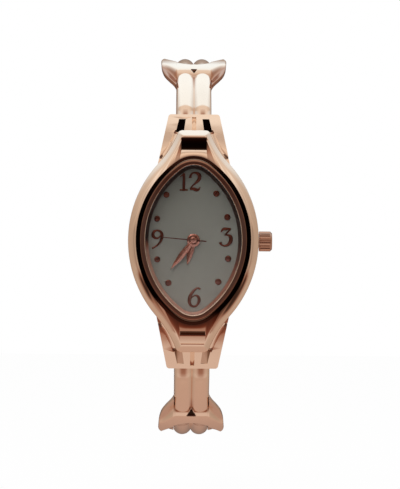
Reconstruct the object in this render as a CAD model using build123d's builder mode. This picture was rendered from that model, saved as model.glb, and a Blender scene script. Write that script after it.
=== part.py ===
from build123d import *
import math
import os

# A lady's quartz bangle watch at its real size, in millimetres.
# +X points to 3 o'clock, +Z to 12 o'clock and -Y out of the dial.
# The origin is the middle of the wrist opening.
# A depth is counted from the front of the bezel ring towards the wrist.

# Hoop: an oval of four arcs that the outside of the band follows
front_y = -28.6
side_radius = 27.5
side_centre_z = 4.6
back_centre_y = 6.3

# Lens shape of the crystal, the dial and everything stacked with them
lens_tip_centre = 8.7
lens_tip_drop = 4.4

# Bezel frame: the outer rim with its two trapezoid tips
rim_half_width = 10.5
rim_arc_radius = 18.5
rim_arc_end_z = 12.3
rim_flank_end = (2.78, 17.2)
rim_tip_half_width = 2.5
rim_tip_z = 18.0
rim_tip_corner = 0.95
rim_opening_half_width = 9.3
rim_crest_depth = 0.2
rim_crest_radius = 55.5
rim_thickness = 1.2
rim_bevel_width = 0.85
rim_bevel_drop = 0.55
rim_lip_bevel = 0.25
pocket_half_width = 2.03
pocket_start_z = 14.95
pocket_end_z = 17.2

# Bezel ring round the crystal
ring_half_width = 8.8
ring_crest_half_width = 8.3
ring_bevel_depth = 0.95
ring_bore_half_width = 7.92
ring_inner_bevel = 0.35
ring_skirt_wall = 0.45
seat_depth = 3.3

# Crystal, gasket and dial
crystal_clearance = 0.14
crystal_top_depth = 0.3
crystal_thickness = 0.85
crystal_bevel = 0.15
gasket_clearance = 0.02
rehaut_top_half_width = 7.65
dial_opening_half_width = 7.4
dial_depth = 2.5
dial_thickness = 0.4
dial_clearance = 0.1
dial_hole_radius = 0.8
marker_radius = 0.5
marker_height = 0.22
marker_bevel = 0.16
marker_places = ((4.15, 7.25), (5.87, 3.43))

# Hands, each a leaf on a hub: length, width and the depth of its front face
hand_thickness = 0.12
minute_hand_length = 6.0
minute_hand_width = 0.95
minute_hand_depth = 1.88
minute_hand_angle = 217.6
hour_hand_length = 4.1
hour_hand_width = 1.0
hour_hand_depth = 2.2
hour_hand_angle = 194.0
second_hand_length = 5.35
second_hand_tail = 2.1
second_hand_width = 0.16
second_hand_depth = 1.56
second_hand_angle = 275.0
hand_hub_radius = 1.05
cap_radius = 0.55

# Case middle with its two hooded shoulders
case_inset = 0.2
back_face_depth = 7.0
cavity_half_width = 8.35
shoulder_end_z = 20.65
shoulder_end_half_width = 4.1
shoulder_base_z = 9.0
shoulder_base_half_width = 6.52
shoulder_corner = 0.5
cheek_start_z = 14.2
field_gap = 0.6
field_start_rise = 0.9
field_depth = 0.75
hood_pocket = ((1.65, 17.7), (2.95, 17.7), (2.45, 19.85), (1.35, 19.85))
hood_pocket_depth = 5.3
rim_pocket_depth = 5.0
ridge_groove_depth = 0.4
ridge_groove_end_z = 20.2

# Hinges between the case and the two halves of the band
pin_z = 19.3
pin_depth = 8.5
pin_radius = 0.4
pin_length = 8.3
press_clearance = 0.005
running_clearance = 0.05
knuckle_radius = 2.4
knuckle_trim_depth = 9.9
knuckle_clearance = 0.15
arm_side_clearance = 0.15

# Band: two half-round bars side by side
bar_half_width = 2.85
bar_height = 2.2
bar_ridge_drop = 0.86
bar_start_angle = 38.2
bar_gap_at_back = 0.25

# Winged collar on each half, laid out flat on the band about its own middle
collar_angle = 67.0
collar_start = 44.0
collar_end = 92.0
wing_outer_drop = 0.1
strap_outer_rise = 0.5
wing_thickness = 1.2
wing_tip_t = -7.1
wing_points = ((4.05, -5.3), (4.85, -3.6), (5.35, -0.5))
corner_point = (5.35, 3.2)
corner_end = (4.1, 5.3)
rear_arm_point = (3.75, 6.9)
rear_arm_end = (2.85, 8.6)
strap_half_width = 5.2
strap_front_t = -1.75
strap_rear_centre_t = 1.2
strap_rear_corner_t = 3.9
strap_notch_half_width = 0.5
strap_notch_length = 0.8
strap_round_half_width = 5.45
strap_corner = 0.95
channel_start = (2.6, -6.1)
channel_middle = (3.6, -4.2)
channel_end = (4.1, -1.5)
channel_depth = 0.45
teardrop = ((3.0, 4.7), (3.85, 4.95), (3.0, 7.4))

# Clasp: a fold-over cover on the lower half that snaps over the upper half
clasp_gap = 0.25
clasp_side_clearance = 0.2
clasp_plate = 0.7
clasp_cheek = 0.6
clasp_cheek_depth = 1.7
clasp_pin_z = -6.0
clasp_pin_drop = 1.3
clasp_ear_radius = 1.15
clasp_plate_start = 1.8
clasp_end_z = 7.0
clasp_nub_radius = 0.45
clasp_nub_height = 0.14
clasp_nub_z = 4.8

# Crown, stem and tube on the 3 o'clock side
crown_depth = 3.9
crown_radius = 1.62
crown_start_x = 10.62
crown_length = 2.1
crown_cap_bevel = 0.3
crown_flutes = 24
crown_flute_depth = 0.13
crown_cap_length = 0.35
crown_wall = 0.42
crown_floor = 0.7
crown_gasket_start = 0.12
crown_gasket_length = 0.3
crown_gasket_clearance = 0.03
tube_radius = 1.0
tube_bore_radius = 0.6
tube_start_x = 8.95
tube_end_x = 11.9
stem_radius = 0.42
stem_start_x = 3.4
stem_thread_length = 0.35
stem_groove_x = 5.2
stem_groove_width = 0.7
stem_groove_radius = 0.25
pilot_start_x = 2.0
pilot_radius = 0.2
sliding_pinion_start_x = 3.5
sliding_pinion_length = 0.9
sliding_pinion_radius = 0.62
sliding_pinion_teeth = 10
yoke_clearance = 0.06
yoke_top_depth = 4.36
yoke_thickness = 0.25
yoke_fork_depth = 3.35
yoke_fork_half_width = 0.7
yoke_end_z = 2.6
yoke_head_width = 1.2
yoke_head_length = 1.0

# Movement
plate_half_width = 7.45
plate_half_length = 9.3
plate_lens_half_width = 7.75
holder_clearance = 0.1
holder_base_depth = 6.35
plate_top_depth = 2.95
plate_recess_depth = 3.6
plate_base_depth = 4.3
pillar_radius = 0.55
pillar_places = ((5.6, 4.7), (0.2, 7.7), (-4.3, 7.5), (-3.2, -3.3))
channel_start_x = 3.2
channel_half_width = 0.8
channel_top_depth = 3.1
bridge_top_depth = 5.6
bridge_base_depth = 5.95
bridge_low_z = -3.6
battery_place = (1.0, -6.15)
battery_radius = 2.9
battery_height = 2.0
battery_top_depth = 3.85
battery_step = 0.2
battery_rim = 0.5
battery_clearance = 0.12
clip_place = (2.2, -3.2)
clip_direction = -70.0
clip_length = 5.4
clip_width = 1.1
clip_depth = 5.97
clip_thickness = 0.18
coil_x = -5.9
coil_depth = 5.2
coil_low_z = -4.2
coil_high_z = 2.4
coil_radius = 0.72
coil_flange = 0.25
coil_core_reach = 1.2
coil_core_width = 0.9
coil_core_thickness = 0.4
coil_room = 1.05
stator_thickness = 0.4
stator_gap = 0.25
stator_rim = 0.8
stator_limb = 0.7
stator_foot = 0.75
board_margin = 0.15
board_top_depth = 4.3
board_base_depth = 4.75
board_high_z = -5.6
chip_place = (-3.3, -8.2)
chip_radius = 0.5
chip_height = 0.3
can_z = -6.6
can_start_x = -5.2
can_radius = 0.5
can_length = 2.3
pivot_radius = 0.1
pivot_length = 0.4
pivot_clearance = 0.03

# Gear train: wheel teeth, pinion teeth and the places of the arbors
third_distance = 3.4
third_direction = 50.0
third_wheel_teeth = 60
second_pinion_teeth = 8
third_pinion_teeth = 8
centre_wheel_teeth = 64
second_wheel_teeth = 40
intermediate_pinion_teeth = 10
intermediate_wheel_teeth = 60
rotor_pinion_teeth = 8
intermediate_distance = 3.6
intermediate_direction = 135.0
rotor_distance = 2.55
rotor_direction = 110.0
motion_distance = 2.4
motion_direction = 225.0
cannon_teeth = 12
minute_wheel_teeth = 36
minute_pinion_teeth = 10
hour_wheel_teeth = 40
wheel_thickness = 0.14
wheel_gap = 0.06
wheel_room = 0.22
pinion_overlap = 0.05
gear_backlash = 0.12
second_arbor_radius = 0.12
centre_tube_radius = 0.3
centre_tube_bore = 0.17
hour_tube_radius = 0.6
hour_tube_bore = 0.36
magnet_radius = 0.7
magnet_top_depth = 4.45
magnet_base_depth = 5.1
hour_layer = 3.02
cannon_layer = 3.3
centre_layer = 4.42
third_layer = 4.74
second_layer = 5.04
rotor_layer = 5.3
cap_height = 0.2
cap_taper = 35.0

# Case back
back_flange_half_width = 9.1
back_flange_thickness = 0.5
back_plug_clearance = 0.06
back_plug_wall = 0.6
back_plug_height = 0.55
back_gasket_half_width = 8.85
back_gasket_wall = 0.38
back_gasket_height = 0.3
case_knife_notch_place = (7.6, -6.4)
case_knife_notch_radius = 0.9
case_knife_notch_depth = 0.2

# Worked out from the sizes above
lens_side_centre = (lens_tip_centre**2 - lens_tip_drop**2) / (2 * lens_tip_drop)
lens_angle = math.degrees(math.atan2(lens_tip_centre, lens_side_centre))
back_radius = side_radius + math.hypot(side_centre_z, back_centre_y)
join_angle = math.degrees(math.atan2(side_centre_z, back_centre_y))
crest_axis_y = front_y + rim_crest_depth + rim_crest_radius
case_crest_radius = rim_crest_radius - rim_thickness
pin_y = front_y + pin_depth
crown_y = front_y + crown_depth
far = 40.0


def dial_plane(depth, clockwise=0.0):
    """Plane square to the dial's axis; its x is X and its y is Z before it is turned."""
    turn = math.radians(clockwise)
    right = (math.cos(turn), 0, -math.sin(turn))
    return Plane(origin=(0, front_y + depth, 0), x_dir=right, z_dir=(0, -1, 0))


def radial_plane(centre_y, centre_z, angle, reach=0.0):
    """Plane along an arc's radius, angle from -Y towards +Z; x is X and y points outwards."""
    turn = math.radians(angle)
    outward = Vector(0, -math.cos(turn), math.sin(turn))
    origin = Vector(0, centre_y, centre_z) + outward * reach
    return Plane(origin=origin, x_dir=(1, 0, 0), z_dir=(0, -math.sin(turn), -math.cos(turn)))


def collar_plane():
    """Plane that touches the band at the collar's middle; x is X and y runs along the band."""
    turn = math.radians(collar_angle)
    outward = Vector(0, -math.cos(turn), math.sin(turn))
    origin = Vector(0, 0, side_centre_z) + outward * side_radius
    return Plane(origin=origin, x_dir=(1, 0, 0), z_dir=outward)


def lens(half_width):
    """Lens outline: two side arcs and two tip arcs, every width an offset of one shape."""
    side = half_width + lens_side_centre
    tip = half_width - lens_tip_drop
    with BuildSketch() as outline:
        with BuildLine():
            CenterArc((-lens_side_centre, 0), side, -lens_angle, 2 * lens_angle)
            CenterArc((0, lens_tip_centre), tip, lens_angle, 180 - 2 * lens_angle)
            CenterArc((lens_side_centre, 0), side, 180 - lens_angle, 2 * lens_angle)
            CenterArc((0, -lens_tip_centre), tip, 180 + lens_angle, 180 - 2 * lens_angle)
        make_face()
    return outline.sketch


def lens_plate(half_width, top_depth, base_depth):
    """A flat lens-shaped plate between two depths."""
    with BuildPart() as plate:
        with BuildSketch(dial_plane(base_depth)):
            add(lens(half_width))
        extrude(amount=base_depth - top_depth)
    return plate.part


def lens_taper(front_half_width, top_depth, base_half_width, base_depth):
    """A lens-shaped block whose wall slopes from one width to another."""
    with BuildPart() as block:
        with BuildSketch(dial_plane(base_depth)):
            add(lens(base_half_width))
        with BuildSketch(dial_plane(top_depth)):
            add(lens(front_half_width))
        loft(ruled=True)
    return block.part


def rim_outline():
    """Outer rim: a broad lens drawn out into a trapezoid tip at 12 and at 6 o'clock."""
    centre = rim_arc_radius - rim_half_width
    end_angle = math.degrees(math.asin(rim_arc_end_z / rim_arc_radius))
    with BuildSketch() as outline:
        with BuildLine():
            side = CenterArc((-centre, 0), rim_arc_radius, 0, end_angle)
            flank = TangentArc(side @ 1, rim_flank_end, tangent=side % 1)
            Polyline(flank @ 1, (rim_tip_half_width, rim_tip_z), (0, rim_tip_z))
            mirror(about=Plane.YZ)
            mirror(about=Plane.XZ)
        make_face()
        tips = outline.vertices().filter_by(lambda v: abs(abs(v.Y) - rim_tip_z) < 0.01)
        fillet(tips.filter_by(lambda v: abs(v.X) > 1), rim_tip_corner)
    return outline.sketch


def case_outline():
    """Case middle seen from the front: the rim's body and a tapered shoulder at each end."""
    radius = rim_arc_radius - case_inset
    centre = rim_arc_radius - rim_half_width
    with BuildSketch() as outline:
        with Locations((-centre, 0)):
            Circle(radius)
        with Locations((centre, 0)):
            Circle(radius, mode=Mode.INTERSECT)
        for end in (1, -1):
            with BuildLine():
                Polyline(
                    (-shoulder_base_half_width, end * shoulder_base_z),
                    (shoulder_base_half_width, end * shoulder_base_z),
                    (shoulder_end_half_width, end * shoulder_end_z),
                    (-shoulder_end_half_width, end * shoulder_end_z),
                    close=True,
                )
            make_face()
        ends = outline.vertices().filter_by(lambda v: abs(abs(v.Y) - shoulder_end_z) < 0.01)
        fillet(ends, shoulder_corner)
    return outline.sketch


def crest_band(outer_radius, inner_radius):
    """A band between two cylinders about the axis that the watch's curved top follows."""
    with BuildPart() as band:
        with BuildSketch(Plane.YZ):
            with Locations((crest_axis_y, 0)):
                Circle(outer_radius)
                Circle(inner_radius, mode=Mode.SUBTRACT)
        extrude(amount=far, both=True)
    return band.part


def bar_section(outer):
    """Section of the twin bars: two round ridges over a flat inner face."""
    shoulder = outer - bar_ridge_drop
    with BuildSketch() as section:
        with BuildLine():
            Polyline(
                (-bar_half_width, shoulder),
                (-bar_half_width, outer - bar_height),
                (bar_half_width, outer - bar_height),
                (bar_half_width, shoulder),
            )
            ThreePointArc((bar_half_width, shoulder), (bar_half_width / 2, outer), (0, shoulder))
            ThreePointArc((0, shoulder), (-bar_half_width / 2, outer), (-bar_half_width, shoulder))
        make_face()
    return section.sketch


def side_band(outer, inner, start, end):
    """A plain band along the hoop's upper side arc, between two radii and two angles."""
    with BuildPart() as band:
        with BuildSketch(radial_plane(0, side_centre_z, start)):
            with Locations((0, (outer + inner) / 2)):
                Rectangle(far, outer - inner)
        revolve(axis=Axis((0, 0, side_centre_z), (-1, 0, 0)), revolution_arc=end - start)
    return band.part


def strap_band(outer, inner):
    """The band that the collar's strap is cut from, with its outer corners rounded off."""
    with BuildPart() as band:
        with BuildSketch(radial_plane(0, side_centre_z, collar_start)) as section:
            with Locations((0, (outer + inner) / 2)):
                Rectangle(2 * strap_round_half_width, outer - inner)
            fillet(section.vertices().group_by(Axis.Y)[-1], strap_corner)
        revolve(
            axis=Axis((0, 0, side_centre_z), (-1, 0, 0)),
            revolution_arc=collar_end - collar_start,
        )
    return band.part


def gear_outline(teeth, pitch_radius, place, bore=0.0, phase=0.0):
    """Outline of a toothed wheel; phase is the angle of one tooth, in degrees."""
    addendum = pitch_radius * 2 / teeth
    half_pitch = 180 / teeth
    root = pitch_radius - 1.2 * addendum
    tip = pitch_radius + 0.85 * addendum
    flank = half_pitch * (1 - gear_backlash)
    points = []
    for tooth in range(teeth):
        middle = phase + tooth * 2 * half_pitch
        for radius, side in ((root, -0.75), (tip, -0.2), (tip, 0.2), (root, 0.75)):
            points.append(polar(radius, middle + side * flank, place))
    with BuildSketch() as outline:
        with BuildLine():
            Polyline(*points, close=True)
        make_face()
        if bore > 0:
            with Locations(place):
                Circle(bore, mode=Mode.SUBTRACT)
    return outline.sketch


def gear(teeth, pitch_radius, top_depth, base_depth, place, bore=0.0, phase=0.0):
    """A toothed wheel that turns about the dial's axis direction."""
    with BuildPart() as wheel:
        with BuildSketch(dial_plane(base_depth)):
            add(gear_outline(teeth, pitch_radius, place, bore, phase))
        extrude(amount=base_depth - top_depth)
    return wheel.part


def arbor(radius, top_depth, base_depth, place, bore=0.0):
    """A round shaft, or a tube where it has a bore, along the dial's axis."""
    with BuildPart() as shaft:
        with BuildSketch(dial_plane(base_depth)):
            with Locations(place):
                Circle(radius)
                if bore > 0:
                    Circle(bore, mode=Mode.SUBTRACT)
        extrude(amount=base_depth - top_depth)
    return shaft.part


def polar(distance, direction, start=(0.0, 0.0)):
    """A place at a distance and direction from another, on the dial plane."""
    turn = math.radians(direction)
    return (start[0] + distance * math.cos(turn), start[1] + distance * math.sin(turn))


def mesh_phase(teeth, direction, partner_teeth, partner_phase):
    """Phase that puts a tooth gap of a wheel where its partner's tooth points at it."""
    partner_pitch = 360 / partner_teeth
    lead = (direction - partner_phase) / partner_pitch
    lead -= math.floor(lead)
    return direction + 180 + (lead + 0.5) * 360 / teeth


def leaf_hand(length, width, depth, angle, hub_radius, bore):
    """A leaf-shaped hand on a round hub, pointing clockwise from 12 by its angle."""
    neck = 0.12
    with BuildPart() as hand:
        with BuildSketch(dial_plane(depth + hand_thickness, angle)):
            with BuildLine():
                edge = Spline((neck, 0), (width / 2, length * 0.42), (0, length))
                mirror(about=Plane.YZ)
                Line(edge @ 0, (-neck, 0))
            make_face()
            Circle(hub_radius)
            Circle(bore, mode=Mode.SUBTRACT)
        extrude(amount=hand_thickness)
    return hand.part


def clear_hole(radius, places):
    """Holes right through a plate along the dial's axis."""
    with BuildPart() as holes:
        for place in places:
            add(arbor(radius, 0, far, place))
    return holes.part


def movement_plate(half_width, top_depth, base_depth, margin=0.0):
    """A plate of the movement's own outline: a lens cut straight at the sides and the ends."""
    with BuildPart() as plate:
        with BuildSketch(dial_plane(base_depth)):
            add(lens(half_width))
            Rectangle(
                2 * (plate_half_width + margin),
                2 * (plate_half_length + margin),
                mode=Mode.INTERSECT,
            )
        extrude(amount=base_depth - top_depth)
    return plate.part


def shoulder_field():
    """The space that is sunk into both shoulders around the rim's tips."""
    middle_z = (rim_arc_end_z + field_start_rise + rim_tip_z) / 2
    length = rim_tip_z - rim_arc_end_z - field_start_rise
    with BuildPart() as field:
        with BuildSketch(dial_plane(far)):
            add(rim_outline())
            offset(amount=field_gap)
            with Locations((0, middle_z), (0, -middle_z)):
                Rectangle(far, length, mode=Mode.INTERSECT)
            add(rim_outline(), mode=Mode.SUBTRACT)
        extrude(amount=2 * far)
        add(
            crest_band(case_crest_radius + 1, case_crest_radius - field_depth),
            mode=Mode.INTERSECT,
        )
    return field.part


def bar_sweep(start, end):
    """The twin bars along the hoop's upper side arc, between two angles."""
    with BuildPart() as sweep_part:
        with BuildSketch(radial_plane(0, side_centre_z, start)):
            add(bar_section(side_radius))
        revolve(axis=Axis((0, 0, side_centre_z), (-1, 0, 0)), revolution_arc=end - start)
    return sweep_part.part


def knuckle():
    """The hinge end of the upper bars: the bars' own section rolled about the pin."""
    with BuildPart() as roll:
        with BuildSketch(radial_plane(pin_y, pin_z, 0)):
            add(bar_section(knuckle_radius))
        revolve(axis=Axis((0, pin_y, pin_z), (-1, 0, 0)))
        with BuildSketch(Plane.YZ):
            with Locations((pin_y, pin_z)):
                Circle(knuckle_radius - bar_ridge_drop)
        extrude(amount=bar_half_width, both=True)
        with BuildSketch(dial_plane(knuckle_trim_depth + far)):
            Rectangle(far, 2 * far)
        extrude(amount=far, mode=Mode.SUBTRACT)
        with BuildSketch(Plane.YZ):
            with Locations((pin_y, pin_z)):
                Circle(pin_radius + running_clearance)
        extrude(amount=far, both=True, mode=Mode.SUBTRACT)
    return roll.part


def wing_outline():
    """The collar laid flat: wings that swell from the bars, round corners, and rear arms."""
    with BuildSketch() as outline:
        with BuildLine():
            edge = Spline((bar_half_width, wing_tip_t), *wing_points, corner_point, corner_end)
            ThreePointArc(edge @ 1, rear_arm_point, rear_arm_end)
            Line(rear_arm_end, (0, rear_arm_end[1]))
            Line((bar_half_width, wing_tip_t), (0, wing_tip_t))
            mirror(about=Plane.YZ)
        make_face()
    return outline.sketch


def channel_tool():
    """The space sunk into both wings between their rims and the bars."""
    inner_x, start_t = channel_start
    outer_x, end_t = channel_end
    with BuildPart() as channel:
        for side in (1, -1):
            with BuildSketch(collar_plane()):
                with BuildLine():
                    ThreePointArc(
                        (side * inner_x, start_t),
                        (side * channel_middle[0], channel_middle[1]),
                        (side * outer_x, end_t),
                    )
                    Polyline(
                        (side * outer_x, end_t),
                        (side * inner_x, end_t),
                        (side * inner_x, start_t),
                    )
                make_face()
            extrude(amount=far / 4, both=True)
        floor = side_radius - wing_outer_drop - channel_depth
        add(side_band(side_radius + 1, floor, collar_start, collar_end), mode=Mode.INTERSECT)
    return channel.part


def is_crest(face):
    """True for the curved face that the top of the rim follows."""
    return face.geom_type == GeomType.CYLINDER and abs(face.radius - rim_crest_radius) < 0.001


def write(builder, name):
    """Label a finished piece and write its STEP file."""
    builder.part.label = name
    export_step(builder.part, f"parts/{name}.step")


os.makedirs("parts", exist_ok=True)

# Bezel frame: the outer rim, curved to the wrist, bevelled, with a pocket in each tip
with BuildPart() as bezel_frame:
    with BuildSketch(dial_plane(far)):
        add(rim_outline())
    extrude(amount=2 * far)
    add(crest_band(rim_crest_radius, case_crest_radius), mode=Mode.INTERSECT)
    crest = bezel_frame.faces().filter_by(is_crest)[0]
    chamfer(crest.outer_wire().edges(), rim_bevel_width, rim_bevel_drop, reference=crest)
    add(lens_plate(rim_opening_half_width, -far, far), mode=Mode.SUBTRACT)
    crest = bezel_frame.faces().filter_by(is_crest)[0]
    chamfer(crest.inner_wires()[0].edges(), rim_lip_bevel)
    for end in (1, -1):
        with BuildSketch(dial_plane(far)):
            with Locations((0, end * (pocket_start_z + pocket_end_z) / 2)):
                Rectangle(2 * pocket_half_width, pocket_end_z - pocket_start_z)
        extrude(amount=2 * far, mode=Mode.SUBTRACT)
write(bezel_frame, "bezel_frame")

# Bezel ring: bevelled on both sides of its crest, with a sloping inner wall down to the dial
ring_skirt_half_width = ring_half_width - ring_skirt_wall
crystal_base_depth = crystal_top_depth + crystal_thickness
with BuildPart() as bezel_ring:
    add(lens_taper(ring_crest_half_width, 0, ring_half_width, ring_bevel_depth))
    add(lens_plate(ring_half_width, ring_bevel_depth, seat_depth))
    add(lens_plate(ring_skirt_half_width, dial_depth, seat_depth), mode=Mode.SUBTRACT)
    add(lens_plate(ring_bore_half_width, 0, crystal_base_depth), mode=Mode.SUBTRACT)
    add(
        lens_taper(rehaut_top_half_width, crystal_base_depth, dial_opening_half_width, dial_depth),
        mode=Mode.SUBTRACT,
    )
    add(
        lens_taper(ring_crest_half_width - 0.03, 0, ring_bore_half_width, ring_inner_bevel),
        mode=Mode.SUBTRACT,
    )
write(bezel_ring, "bezel_ring")

# Crystal and the gasket that grips it in the ring
crystal_half_width = ring_bore_half_width - crystal_clearance
with BuildPart() as crystal:
    add(lens_plate(crystal_half_width, crystal_top_depth, crystal_base_depth))
    chamfer(crystal.faces().sort_by(Axis.Y)[0].edges(), crystal_bevel)
write(crystal, "crystal")

with BuildPart() as crystal_gasket:
    add(
        lens_plate(
            ring_bore_half_width - gasket_clearance,
            crystal_top_depth + crystal_bevel,
            crystal_base_depth,
        )
    )
    add(
        lens_plate(crystal_half_width + gasket_clearance, crystal_top_depth, crystal_base_depth),
        mode=Mode.SUBTRACT,
    )
write(crystal_gasket, "crystal_gasket")

# Dial and its eight domed dots
dial_base_depth = dial_depth + dial_thickness
with BuildPart() as dial:
    add(lens_plate(ring_skirt_half_width - dial_clearance, dial_depth, dial_base_depth))
    add(arbor(dial_hole_radius, dial_depth, dial_base_depth, (0, 0)), mode=Mode.SUBTRACT)
write(dial, "dial")

with BuildPart() as hour_markers:
    for x, z in marker_places:
        for x_side in (1, -1):
            for z_side in (1, -1):
                with BuildSketch(dial_plane(dial_depth)):
                    with Locations((x_side * x, z_side * z)):
                        Circle(marker_radius)
    extrude(amount=marker_height)
    chamfer(hour_markers.faces().group_by(Axis.Y)[0].edges(), marker_bevel)
write(hour_markers, "hour_markers")

# Case middle: plan and side profile meet, then it is hollowed for the movement
profile_end_top = crest_axis_y - math.sqrt(case_crest_radius**2 - shoulder_end_z**2)
with BuildPart() as case_middle:
    with BuildSketch(dial_plane(far)):
        add(case_outline())
    extrude(amount=2 * far)
    with BuildSketch(Plane.YZ):
        with BuildLine():
            top = ThreePointArc(
                (profile_end_top, -shoulder_end_z),
                (crest_axis_y - case_crest_radius, 0),
                (profile_end_top, shoulder_end_z),
            )
            for end in (1, -1):
                bulge = shoulder_end_z - pin_z
                turn = math.sqrt(0.5) * bulge
                Line((profile_end_top, end * shoulder_end_z), (pin_y, end * shoulder_end_z))
                ThreePointArc(
                    (pin_y, end * shoulder_end_z),
                    (pin_y + turn, end * (pin_z + turn)),
                    (pin_y + bulge, end * pin_z),
                )
                ThreePointArc(
                    (pin_y + bulge, end * pin_z),
                    (front_y + back_face_depth + 1.1, end * (cheek_start_z + 2.0)),
                    (front_y + back_face_depth, end * cheek_start_z),
                )
            Line(
                (front_y + back_face_depth, -cheek_start_z),
                (front_y + back_face_depth, cheek_start_z),
            )
        make_face()
    extrude(amount=far, both=True, mode=Mode.INTERSECT)
    add(lens_plate(ring_half_width, 0, seat_depth), mode=Mode.SUBTRACT)
    add(lens_plate(cavity_half_width, seat_depth, far), mode=Mode.SUBTRACT)
    back_gasket_inner = back_gasket_half_width - back_gasket_wall
    add(
        lens_plate(back_gasket_half_width, back_face_depth - back_gasket_height, back_face_depth),
        mode=Mode.SUBTRACT,
    )
    # A sunk field runs round each rim tip and ends in two pockets beside the double ridge
    add(shoulder_field(), mode=Mode.SUBTRACT)
    groove_start = math.degrees(math.asin(rim_tip_z / case_crest_radius))
    groove_end = math.degrees(math.asin(ridge_groove_end_z / case_crest_radius))
    for first, last in ((groove_start, groove_end), (-groove_end, -groove_start)):
        with BuildSketch(radial_plane(crest_axis_y, 0, first, case_crest_radius)):
            with BuildLine():
                Polyline(
                    (-ridge_groove_depth, 0.05),
                    (0, -ridge_groove_depth),
                    (ridge_groove_depth, 0.05),
                    close=True,
                )
            make_face()
        revolve(
            axis=Axis((0, crest_axis_y, 0), (-1, 0, 0)),
            revolution_arc=last - first,
            mode=Mode.SUBTRACT,
        )
    # Pockets with flat floors: one behind each rim tip's pocket and two beside each ridge
    for end in (1, -1):
        with BuildSketch(dial_plane(rim_pocket_depth)):
            with Locations((0, end * (pocket_start_z + pocket_end_z) / 2)):
                Rectangle(2 * pocket_half_width, pocket_end_z - pocket_start_z)
        extrude(amount=far, mode=Mode.SUBTRACT)
        with BuildSketch(dial_plane(hood_pocket_depth)):
            for side in (1, -1):
                with BuildLine():
                    Polyline(*[(side * x, end * z) for x, z in hood_pocket], close=True)
                make_face()
        extrude(amount=far, mode=Mode.SUBTRACT)
    # The hinge slot under each hood, and the holes for its pin
    slot_radius = knuckle_radius + knuckle_clearance
    for end in (1, -1):
        with BuildSketch(Plane.YZ):
            with Locations((pin_y, end * pin_z)):
                Circle(slot_radius)
            with Locations((pin_y + slot_radius, end * pin_z)):
                Rectangle(2 * slot_radius, 2 * slot_radius)
        extrude(amount=bar_half_width + arm_side_clearance, both=True, mode=Mode.SUBTRACT)
        with BuildSketch(Plane.YZ):
            with Locations((pin_y, end * pin_z)):
                Circle(pin_radius + press_clearance)
        extrude(amount=far, both=True, mode=Mode.SUBTRACT)
    # The crown tube's stepped hole at 3 o'clock
    with BuildSketch(Plane.YZ.offset(tube_start_x)):
        with Locations((crown_y, 0)):
            Circle(tube_radius + press_clearance)
    extrude(amount=far, mode=Mode.SUBTRACT)
    with BuildSketch(Plane.YZ):
        with Locations((crown_y, 0)):
            Circle(tube_bore_radius)
    extrude(amount=tube_start_x + running_clearance, mode=Mode.SUBTRACT)
write(case_middle, "case_middle")

# Case back: a flat lens-shaped cover with a snap rim that goes into the case
with BuildPart() as case_back:
    back_outer_depth = back_face_depth + back_flange_thickness
    add(lens_plate(back_flange_half_width, back_face_depth, back_outer_depth))
    chamfer(case_back.faces().sort_by(Axis.Y)[-1].edges(), back_flange_thickness / 2)
    plug_half_width = cavity_half_width - back_plug_clearance
    add(lens_plate(plug_half_width, back_face_depth - back_plug_height, back_face_depth))
    add(
        lens_plate(plug_half_width - back_plug_wall, 0, back_face_depth),
        mode=Mode.SUBTRACT,
    )
    # A notch at 5 o'clock where a case knife lifts the cover
    with BuildSketch(dial_plane(back_face_depth + case_knife_notch_depth)):
        with Locations(case_knife_notch_place):
            Circle(case_knife_notch_radius)
    extrude(amount=case_knife_notch_depth, mode=Mode.SUBTRACT)
write(case_back, "case_back")

with BuildPart() as case_back_gasket:
    gasket_half_width = back_gasket_half_width - gasket_clearance
    add(lens_plate(gasket_half_width, back_face_depth - back_gasket_height, back_face_depth))
    add(
        lens_plate(back_gasket_inner + gasket_clearance, 0, back_face_depth),
        mode=Mode.SUBTRACT,
    )
write(case_back_gasket, "case_back_gasket")

# Hinge pins, pressed into the cheeks of the case
for end, name in ((1, "upper_hinge_pin"), (-1, "lower_hinge_pin")):
    with BuildPart() as hinge_pin:
        with BuildSketch(Plane.YZ):
            with Locations((pin_y, end * pin_z)):
                Circle(pin_radius)
        extrude(amount=pin_length / 2, both=True)
        chamfer(hinge_pin.edges().filter_by(GeomType.CIRCLE), pin_radius / 4)
    write(hinge_pin, name)

# The collar's strap crosses over the bars; it is also the tool that cuts the bars to length
collar_inner = side_radius - bar_height
with BuildPart() as strap:
    with BuildSketch(collar_plane()):
        with BuildLine():
            rear = ThreePointArc(
                (-strap_half_width, strap_rear_corner_t),
                (0, strap_rear_centre_t),
                (strap_half_width, strap_rear_corner_t),
            )
            Polyline(
                rear @ 1,
                (strap_half_width, strap_front_t),
                (-strap_half_width, strap_front_t),
                rear @ 0,
            )
        make_face()
        add(wing_outline(), mode=Mode.INTERSECT)
    extrude(amount=far / 4, both=True)
    add(strap_band(side_radius + strap_outer_rise, collar_inner), mode=Mode.INTERSECT)

# Wings either side of the bars, with a sunk channel and an open teardrop behind the strap
with BuildPart() as upper_collar:
    with BuildSketch(collar_plane()):
        add(wing_outline())
    extrude(amount=far / 4, both=True)
    wing_outer = side_radius - wing_outer_drop
    add(
        side_band(wing_outer, wing_outer - wing_thickness, collar_start, collar_end),
        mode=Mode.INTERSECT,
    )
    with BuildSketch(collar_plane()):
        Rectangle(2 * bar_half_width, far)
    extrude(amount=far / 4, both=True, mode=Mode.SUBTRACT)
    for side in (1, -1):
        with BuildSketch(collar_plane()):
            with BuildLine():
                Polyline(*[(side * x, t) for x, t in teardrop], close=True)
            make_face()
        extrude(amount=far / 4, both=True, mode=Mode.SUBTRACT)
    add(channel_tool(), mode=Mode.SUBTRACT)
    add(strap.part)
write(upper_collar, "upper_collar")

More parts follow.
